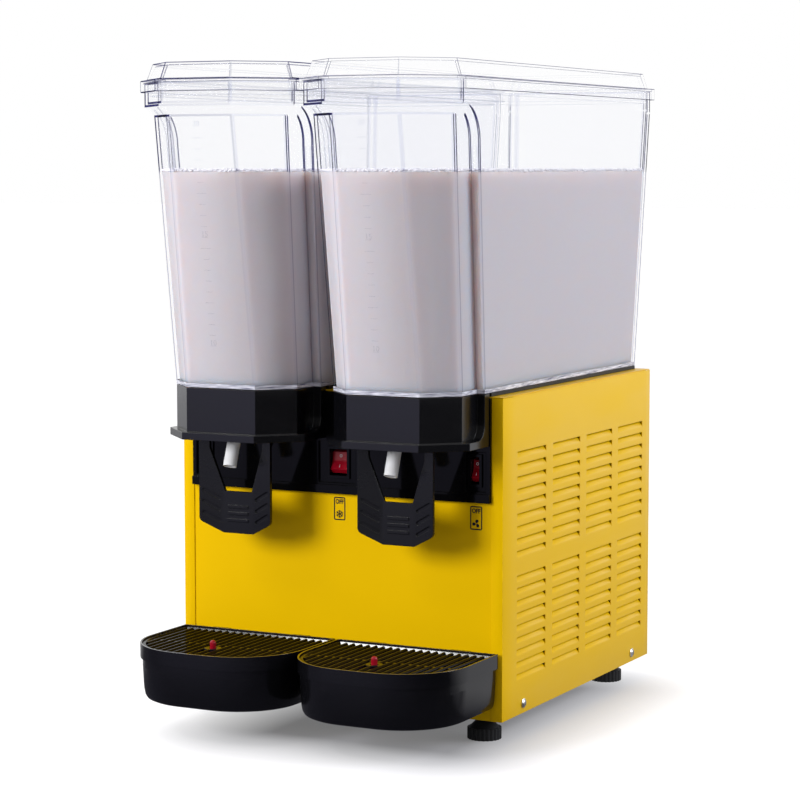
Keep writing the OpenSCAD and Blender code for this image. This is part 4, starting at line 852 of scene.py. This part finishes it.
laid = ribs.add("InstanceOnPoints", Points=line, Instance=ribs.shape("Rib"), Scale=size)
ribs.close(ribs.join(laid, ribs["Geometry"]))

# %% Both grilles
RIBS_ASIDE, CENTRE_RIBS = 9, ((5.0 - T_REACH, -107.0), (-91.0, -12.0))
MOULDED_ANGLE = 33


def gleams(normal):
    """True for the rear chamfer of the rim, which is polished."""
    return normal.y < -0.7 and 0.5 < normal.z < 0.65


rib = loose("rib", *rib_bar(-0.5, 0.5))
for hand, middle in HANDS:
    name = "drip_grille_" + hand
    verts, faces = grille_frame(middle)
    bars = [rib_bar(at(0, y0, 0).y, at(0, y1, 0).y, middle / 1000) for y0, y1 in CENTRE_RIBS]
    grille = loose("grille", *gather([(there(verts), faces, STAY)] + [(*one, STAY) for one in bars]))
    ribs.run(grille, Ribs=2 * RIBS_ASIDE + 1, Pitch=PITCH / 1000, Middle=middle / 1000,
             First=(middle / 1000 - RIBS_ASIDE * PITCH / 1000, 0, 0), Straight=(T_HALF - T_CORNER) / 1000,
             Corner=(T_CORNER - INSET - RIB_GAP) / 1000, Corner_y=at(0, T_CORNER - T_REACH, 0).y,
             Rear=at(0, T_REAR - INSET - RIB_GAP, 0).y, Rib=rib, Finish=GRILLE)
    mesh = outward(taken(grille))
    for face in mesh.polygons:
        face.material_index = int(gleams(face.normal))
    smooth(mesh, MOULDED_ANGLE)
    shown(name + "_ribbed", mesh, name, [GRILLE, TRAY], [name])
bpy.data.objects.remove(rib)

# %% [markdown]
# ## Marks
# The tanks carry a moulded scale, and the switches have printed signs on the panel below them: a frame, a word
# and a picture. Each is a thin raised shape. The signs with arms are one arm turned round by a small tree.

# %% Thin flat shapes
def extruded(loops, depth):
    """Closed loops of (across, up), made thick towards the viewer, as points and faces."""
    return gather([([(x, y, z) for y in (-depth, 0.0) for x, z in loop], capped(len(loop)), STAY)
                   for loop in loops])


def strips(outer, inner):
    """The band between two rings, as short closed loops."""
    n = len(outer)
    return [[outer[i], outer[(i + 1) % n], inner[(i + 1) % n], inner[i]] for i in range(n)]


def outline(wide, high, r, line):
    """A rounded frame."""
    x, z = wide / 2 - r, high / 2 - r
    corners = ((x, z, 0), (-x, z, 90), (-x, -z, 180), (x, -z, 270))
    outer, inner = ([p for cx, cz, a in corners for p in arc(cx, cz, r - d, a, 5)] for d in (0, line))
    return strips(outer, inner)


def bar(x0, z0, x1, z1, wide):
    """A straight stroke between two points."""
    along = Vector((x1 - x0, z1 - z0)).normalized() * wide / 2
    nx, nz = -along.y, along.x
    return [(x0 + nx, z0 + nz), (x1 + nx, z1 + nz), (x1 - nx, z1 - nz), (x0 - nx, z0 - nz)]


def words(text, size, depth, weight=0.0, narrow=1.0):
    """Plain lettering as points and faces, centred on the origin and facing the viewer."""
    curve = bpy.data.curves.new("words", "FONT")
    curve.body, curve.size = text, size
    curve.align_x, curve.align_y = "CENTER", "CENTER"
    curve.extrude = depth / 2
    curve.offset = weight
    mesh = taken(placed("words", curve))
    verts = [(v.co.x * narrow, -v.co.z - depth / 2, v.co.y) for v in mesh.vertices]
    return verts, [tuple(f.vertices) for f in mesh.polygons]


# %% Tree that turns one arm round
turn = Tree("turned_arms", Arms="Int", Centre="Vector", Arm="Object")
arms = turn.add("MeshLine", Count=turn["Arms"], Start_Location=turn["Centre"], Offset=STAY)
share = turn.sums("DIVIDE", math.tau, turn["Arms"])
spin = turn.vector(Y=turn.sums("MULTIPLY", turn.add("InputIndex"), share))
arms = turn.add("InstanceOnPoints", Points=arms, Instance=turn.shape("Arm"), Rotation=spin)
turn.close(turn.join(arms, turn["Geometry"]))

# %% Printed signs under the switches
PRINT, ON_PANEL, FRAME_Z, WORD_Z, ARMS_Z = 0.05, -0.02, 223.6, 230.6, 218.0
SWITCH_X = 156.4
blade = [(0.1, 0.3), (1.9, 1.2), (2.7, 2.7), (2.0, 4.0), (0.1, 4.2), (-0.9, 2.9), (-0.7, 1.2)]
frost_arm = [bar(0, 0, 0, 4.2, 0.95), bar(0, 2.1, 1.5, 3.4, 0.8), bar(0, 2.1, -1.5, 3.4, 0.8)]
for name, x, arm, count in (("cooling_sign", 1.0, frost_arm, 6), ("mixing_sign_right", SWITCH_X, [blade], 3),
                            ("mixing_sign_left", -SWITCH_X, [blade], 3)):
    border = extruded(outline(wide=13.4, high=24.1, r=1.8, line=1.3), PRINT)
    word = words("OFF", size=6.4, depth=PRINT, weight=0.26, narrow=0.84)
    verts, faces = gather([(*border, (x, ON_PANEL, FRAME_Z)), (*word, (x, ON_PANEL, WORD_Z))])
    sign = loose(name, there(verts), faces)
    pts, loops = extruded(arm, PRINT)
    arm_piece = loose("arm", small(pts), loops)
    turn.run(sign, Arms=count, Centre=at(x, ON_PANEL, ARMS_Z), Arm=arm_piece, Finish=INK)
    shown(name, taken(sign, arm_piece), "cabinet", [INK])

# %% Marks on the rockers
AXIS_Y, AXIS_Z, TILT, MARK_UP, MARK_THICK = 6.0, 271.8, -16, 5.2, 0.08
tilt = Matrix.Rotation(math.radians(TILT), 4, "X")
for spot, x in (("left", -SWITCH_X), ("centre", 1.2), ("right", SWITCH_X)):
    name = "rocker_mark_" + spot
    ring = extruded(strips(circle(1.5, 20), circle(1.0, 20)), MARK_THICK)
    stroke = extruded([bar(0, -1.6, 0, 1.6, wide=0.5)], MARK_THICK)
    verts, faces = gather([(*ring, (0, 0, MARK_UP)), (*stroke, (0, 0, -MARK_UP))])
    pts = []
    for vx, vy, vz in verts:
        face = -3.8 - 1.6 * (abs(vz) - 1.0) / 8.1  # the rocker's hollow face
        p = tilt @ Vector((vx, vy + face, vz))
        pts.append((x + p.x, AXIS_Y + p.y, AXIS_Z + p.z))
    shown(name, taken(loose(name, there(pts), faces)), "rocker_" + spot, [MARK])

# %% Tree that moulds the scale on a tank
scale = Tree("tank_scale", Marks="Int", First="Vector", Step="Vector", Long_every="Int", Tick="Object")
ticks = scale.add("MeshLine", Count=scale["Marks"], Start_Location=scale["First"], Offset=scale["Step"])
turn_no = scale.sums("MODULO", scale.add("InputIndex"), scale["Long_every"])
reach = scale.sums("MULTIPLY_ADD", scale.sums("LESS_THAN", turn_no, 0.5), 0.6, 1.0)
size = scale.vector(X=reach, Y=1.0, Z=1.0)
ticks = scale.add("InstanceOnPoints", Points=ticks, Instance=scale.shape("Tick"), Scale=size)
scale.close(scale.join(ticks, scale["Geometry"]))

# %% Scales on both tanks
RELIEF, SCALE_X, LONG, THICK = 0.3, -4, 3.4, 0.3
TICK = [(-LONG, -THICK), (LONG, -THICK), (LONG, THICK), (-LONG, THICK)]
FIRST_Z, TICK_STEP, NUMBERS = 603.0, -11.0, (("20", 617.0), ("15", 507.0), ("10", 397.0))
NOSE_LEAN = NOSE_NECK[2] - NOSE_FOOT[2]
tip = Matrix.Rotation(math.atan2(NOSE_LEAN, NECK - FOOT), 4, "X")


def nose_face(z):
    """Depth of the front of a tank's nose at a height."""
    return -NOSE_FOOT[2] - NOSE_LEAN * (z - FOOT) / (NECK - FOOT)


def tipped(points):
    return [tip @ Vector(p) for p in points]


for hand, middle in HANDS:
    pts, loops = extruded([TICK], RELIEF)
    tick = loose("tick", [p / 1000 for p in tipped(pts)], loops)
    parts = []
    for number, z in NUMBERS:
        pts, loops = words(number, 8.0, RELIEF)
        parts.append((tipped(pts), loops, (middle + SCALE_X, nose_face(z), z)))
    verts, faces = gather(parts)
    marks = loose("marks", there(verts), faces)
    drop = nose_face(FIRST_Z + TICK_STEP) - nose_face(FIRST_Z)
    scale.run(marks, Marks=20, First=at(middle + SCALE_X, nose_face(FIRST_Z), FIRST_Z),
              Step=at(0, drop, TICK_STEP) - at(0, 0, 0), Long_every=5, Tick=tick, Finish=FROST)
    shown("tank_scale_" + hand, taken(marks, tick), "tank_" + hand, [FROST])

# %% [markdown]
# ## Foam
# Where the drink meets the wall a line of fine bubbles stays behind. A tree sets small balls of several sizes
# along the edge of the drink, always the same ones.

# %% Tree that sets the bubbles
foam = Tree("foam_line", Gap="Float", Small="Float", Large="Float", Stray="Vector", Seed="Int")
edge = foam.add("MeshToCurve", Mesh=foam["Geometry"])
edge = foam.add("ResampleCurve", {"mode": "LENGTH"}, Curve=edge, Length=foam["Gap"])
edge = foam.add("CurveToPoints", {"mode": "EVALUATED"}, Curve=edge)
astray = foam.chance("FLOAT_VECTOR", _0=(-1, -1, -0.3), _1=(1, 1, 1))[0]
astray = shade(foam.tree, "VectorMath", {"operation": "MULTIPLY"}, _0=astray, _1=foam["Stray"])[0]
edge = foam.add("SetPosition", Geometry=edge, Offset=astray)
ball = foam.add("MeshIcoSphere", Radius=1.0, Subdivisions=1)
size = foam.chance("FLOAT", _2=foam["Small"], _3=foam["Large"])[1]
foam.close(foam.add("InstanceOnPoints", Points=edge, Instance=ball, Scale=size))

# %% Foam along the drink's edge
FOAM_IN, FOAM_UP = 3.6, 0.9
for hand, middle in HANDS:
    nose = between(NOSE_FOOT, NOSE_NECK, FOAM_IN, NOSE_SHARE)
    body = between(BODY_FOOT, BODY_RIM, FOAM_IN, BODY_SHARE)
    y_step = step_y(-FOAM_IN, LEVEL)
    half = [body[7], body[6], (body[6][0], y_step), (nose[5][0], y_step), nose[5], nose[4]]
    loop = [(-x, y) for x, y in half] + half[::-1]
    froth = loose("froth", level_ring(middle, loop, LEVEL + FOAM_UP), [],
                  [(i, (i + 1) % len(loop)) for i in range(len(loop))])
    foam.run(froth, Gap=0.0011, Small=0.0005, Large=0.0018, Stray=(0.0005, 0.0005, 0.0016), Seed=7, Finish=FOAM)
    mesh = taken(froth)
    mesh.shade_smooth()
    shown("foam_" + hand, mesh, "tank_" + hand, [FOAM])

# %% [markdown]
# ## Painted light at the foot of the tanks
# The foot of a tank gathers light in its thick floor and shows it as a streaked line above the cowl. Here that
# line is painted light: an opaque ring with bright and dark streaks, laid round the foot.

# %% Painted streaked light round the foot of each tank
SILL_REAR, SILL_EDGE = 384, ((0.02, 350.7), (0.12, 350.7), (0.12, 354.8), (0.02, 354.8))
SIDE_GROWS, SIDE_TALL = 7, 287.4


def sill_ring(d, z):
    """The tank's outer plan from its rear, round the nose and back, grown by d."""
    nose = between(NOSE_FOOT, NOSE_NECK, -d, (z - FOOT) / (NECK - FOOT))
    side = BODY_FOOT[0] + d + SIDE_GROWS * (z - FOOT) / SIDE_TALL
    half = [(side, SILL_REAR), (side, step_y(d, z)), (nose[5][0], step_y(d, z)), nose[5], nose[4]]
    return half + [(-x, y) for x, y in reversed(half)]


for hand, middle in HANDS:
    rows = [level_ring(middle, sill_ring(d, z), z) for d, z in SILL_EDGE]
    verts, faces = ring_mesh(rows, closed=False)
    n = len(rows[0])
    faces += [tuple(k * n for k in range(4)), tuple(k * n + n - 1 for k in reversed(range(4)))]
    mesh = outward(taken(loose("sill", verts, faces)))
    shown("tank_sill_" + hand, mesh, "tank_" + hand, [PAINTED_FOOT_LIGHT])

# %% [markdown]
# ## Lever springs
# A spring wound round the hinge pin brings each lever back: one leg stays on the cowl and the other follows the
# lever. Here the wire is a cleaned copy of its CAD solid in bright steel, which stays where it is on no body.

# %% Spring wires
for hand, _ in HANDS:
    wire = placed("lever_spring_" + hand + "_wound", clean_copy("lever_spring_" + hand))
    coated(wire.data, BRIGHT)
    low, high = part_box("lever_spring_" + hand)
    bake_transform(wire)
    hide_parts("lever_spring_" + hand)
    print("spring", hand, len(wire.data.polygons), "faces")

# %% [markdown]
# ## Works inside
# The compressor, coil, fan, lines and stirring drives show through the louvres, the vents and when a tank is
# lifted. Their CAD shapes stay, and take metals, enamel and rubber.

# %% Finishes of the inner pieces
inner = {"base_plate": STEEL, "compressor": ENAMEL, "compressor_mounts": RUBBER, "condenser": ALLOY,
         "fan_rotor": ALLOY, "fan_shroud": CAST, "fan_motor": CAST, "thermostat": CAST,
         "filter_drier": COPPER, "refrigerant_lines": COPPER}
for hand, _ in HANDS:
    inner.update({"evaporator_" + hand: STEEL, "evaporator_seal_" + hand: WHITE, "mixer_" + hand: WHITE,
                  "drive_magnet_" + hand: CAST, "mixer_motor_" + hand: CAST, "lever_pin_" + hand: BRIGHT})
for node, mat in inner.items():
    coated(frame["nodes"][node].data, mat)
bare = [n for n, o in frame["nodes"].items() if not o.hide_render and n not in inner]
print("inner pieces:", len(inner), "without a finish:", bare)

# %% [markdown]
# ## Studio
# A white floor and a white surround, a large soft box to the front left, one to the rear right that gives the
# side its sheen, a weak one above, and a narrow strip high at the front left that draws glints. What the camera
# and clear plastic see of the floor glows white away from the machine and dims under it as a painted shadow, and
# the floor's own shading keeps the real shadow too. What mirrors see of the floor is a painted reflection.

# %% Floor
FLOOR_HALF = 30  # metres
floor = loose("floor", [(x * FLOOR_HALF, y * FLOOR_HALF, 0) for x, y in ((-1, -1), (1, -1), (1, 1), (-1, 1))],
              [(0, 1, 2, 3)])
pale, tree, shader = material("pale_floor")
fill(tree, shader, {"Base Color": (0.34, 0.335, 0.35, 1), "Roughness": 0.6, "Specular IOR Level": 0.1})
aim = axes(tree, own_place(tree))


def past(axis, middle, half):
    """How far a point of the floor lies, along one axis, beyond the middle where its glow dims as a painted shadow.
    """
    off = maths(tree, "ABSOLUTE", maths(tree, "SUBTRACT", aim[axis], middle))
    return maths(tree, "POWER", maths(tree, "MAXIMUM", maths(tree, "SUBTRACT", off, half), 0), 2)


# The glow that the camera and clear plastic see dims over a patch under the machine, set a little to the right, as
# a painted shadow; the floor's own shading keeps the real shadow as well
beyond_painted_shadow = maths(tree, "SQRT", maths(tree, "ADD", past("X", 0.05, 0.1), past("Y", -0.02, 0.17)))
path = shade(tree, "LightPath")
seen = maths(tree, "MAXIMUM", path["Is Camera Ray"], path["Is Transmission Ray"])
glow_with_painted_shadow = maths(tree, "MULTIPLY", seen, ramp(tree, beyond_painted_shadow, 0, 0.13, 0.15, 0.8))
both = shade(tree, "AddShader", _0=shader.outputs[0], _1=shade(tree, "Emission", Strength=glow_with_painted_shadow)[0])
# What mirrors see of the floor is a painted reflection: a glow, brighter behind the machine and to the front left
# and blue in front, that sets the sheen on the side panel and the reflections in the trays
to_rear = maths(tree, "ADD", ramp(tree, aim["Y"], -0.15, 0.05, 0, 0.42), ramp(tree, aim["Y"], 0.9, 2.6, 0, 0.6))
to_front = ramp(tree, aim["Y"], -0.4, -3, 0.08, 0.9)
to_left = ramp(tree, aim["X"], 0.8, -0.3, 0.03, 1)
reflection_tint = mixed(tree, ramp(tree, aim["Y"], -0.3, 0), (0.72, 0.7, 1, 1), (0.96, 0.96, 1, 1))
painted_reflection = shade(tree, "Emission", Color=reflection_tint,
               Strength=maths(tree, "MAXIMUM", to_rear, maths(tree, "MULTIPLY", to_front, to_left)))
ground = shade(tree, "MixShader", _0=path["Is Glossy Ray"], _1=both[0], _2=painted_reflection[0])
fill(tree, tree.nodes["Material Output"], {"Surface": ground[0]})
coated(floor.data, pale)
print("floor", floor.name)

# %% Surround
world = bpy.data.worlds.new("studio")
scene.world = world
world.use_nodes = True
tree = world.node_tree
ambient = tree.nodes["Background"]
fill(tree, ambient, {"Color": (1, 0.965, 0.94, 1), "Strength": 0.34})
path = shade(tree, "LightPath")
aim = axes(tree, shade(tree, "TexCoord")["Generated"])
behind = ramp(tree, aim["Y"], 0.05, 0.6)
low_down = ramp(tree, aim["Z"], 0.25, 0.6, 1, 0)
deep = maths(tree, "GREATER_THAN", path["Ray Depth"], 1.5)
sweep = maths(tree, "MAXIMUM", maths(tree, "MULTIPLY", behind, low_down), deep)
sweep = maths(tree, "MAXIMUM", sweep, 0.02)
mirrored = maths(tree, "MULTIPLY", path["Is Glossy Ray"], sweep)
seen = maths(tree, "MAXIMUM", path["Is Camera Ray"], path["Is Transmission Ray"])
white = shade(tree, "Background", Color=(1, 1, 1, 1), Strength=maths(tree, "MAXIMUM", seen, mirrored))
share = maths(tree, "MAXIMUM", seen, path["Is Glossy Ray"])
switch = shade(tree, "MixShader", _0=share, _1=ambient.outputs[0], _2=white[0])
fill(tree, tree.nodes["World Output"], {"Surface": switch[0]})
print("surround", world.name)


# %% Soft boxes
def soft_box(name, where, size, watts, target=(0, 0, 0.35), colour=(1, 1, 1)):
    light = bpy.data.lights.new(name, "AREA")
    light.shape = "RECTANGLE"
    light.size, light.size_y = size
    light.energy = watts
    light.color = colour
    lamp = placed(name, light)
    lamp.location = where
    lamp.visible_transmission = False
    lamp.rotation_euler = (Vector(target) - Vector(where)).to_track_quat("-Z", "Y").to_euler()
    return lamp


key = soft_box("key", (-1.4, -2.6, 1.2), (1.1, 1.1), 76, colour=(0.97, 0.985, 1.04))
key.visible_glossy = False
soft_box("side", (2.6, 0.7, 1.4), (1.2, 1.6), 54, colour=(0.95, 0.985, 1.08))
soft_box("above", (-0.7, -0.1, 2.4), (2.4, 1.8), 17, (0, 0, 0))
soft_box("glint", (-1.14, -1.43, 2.04), (0.9, 0.16), 9, (0, -0.15, 0.1))
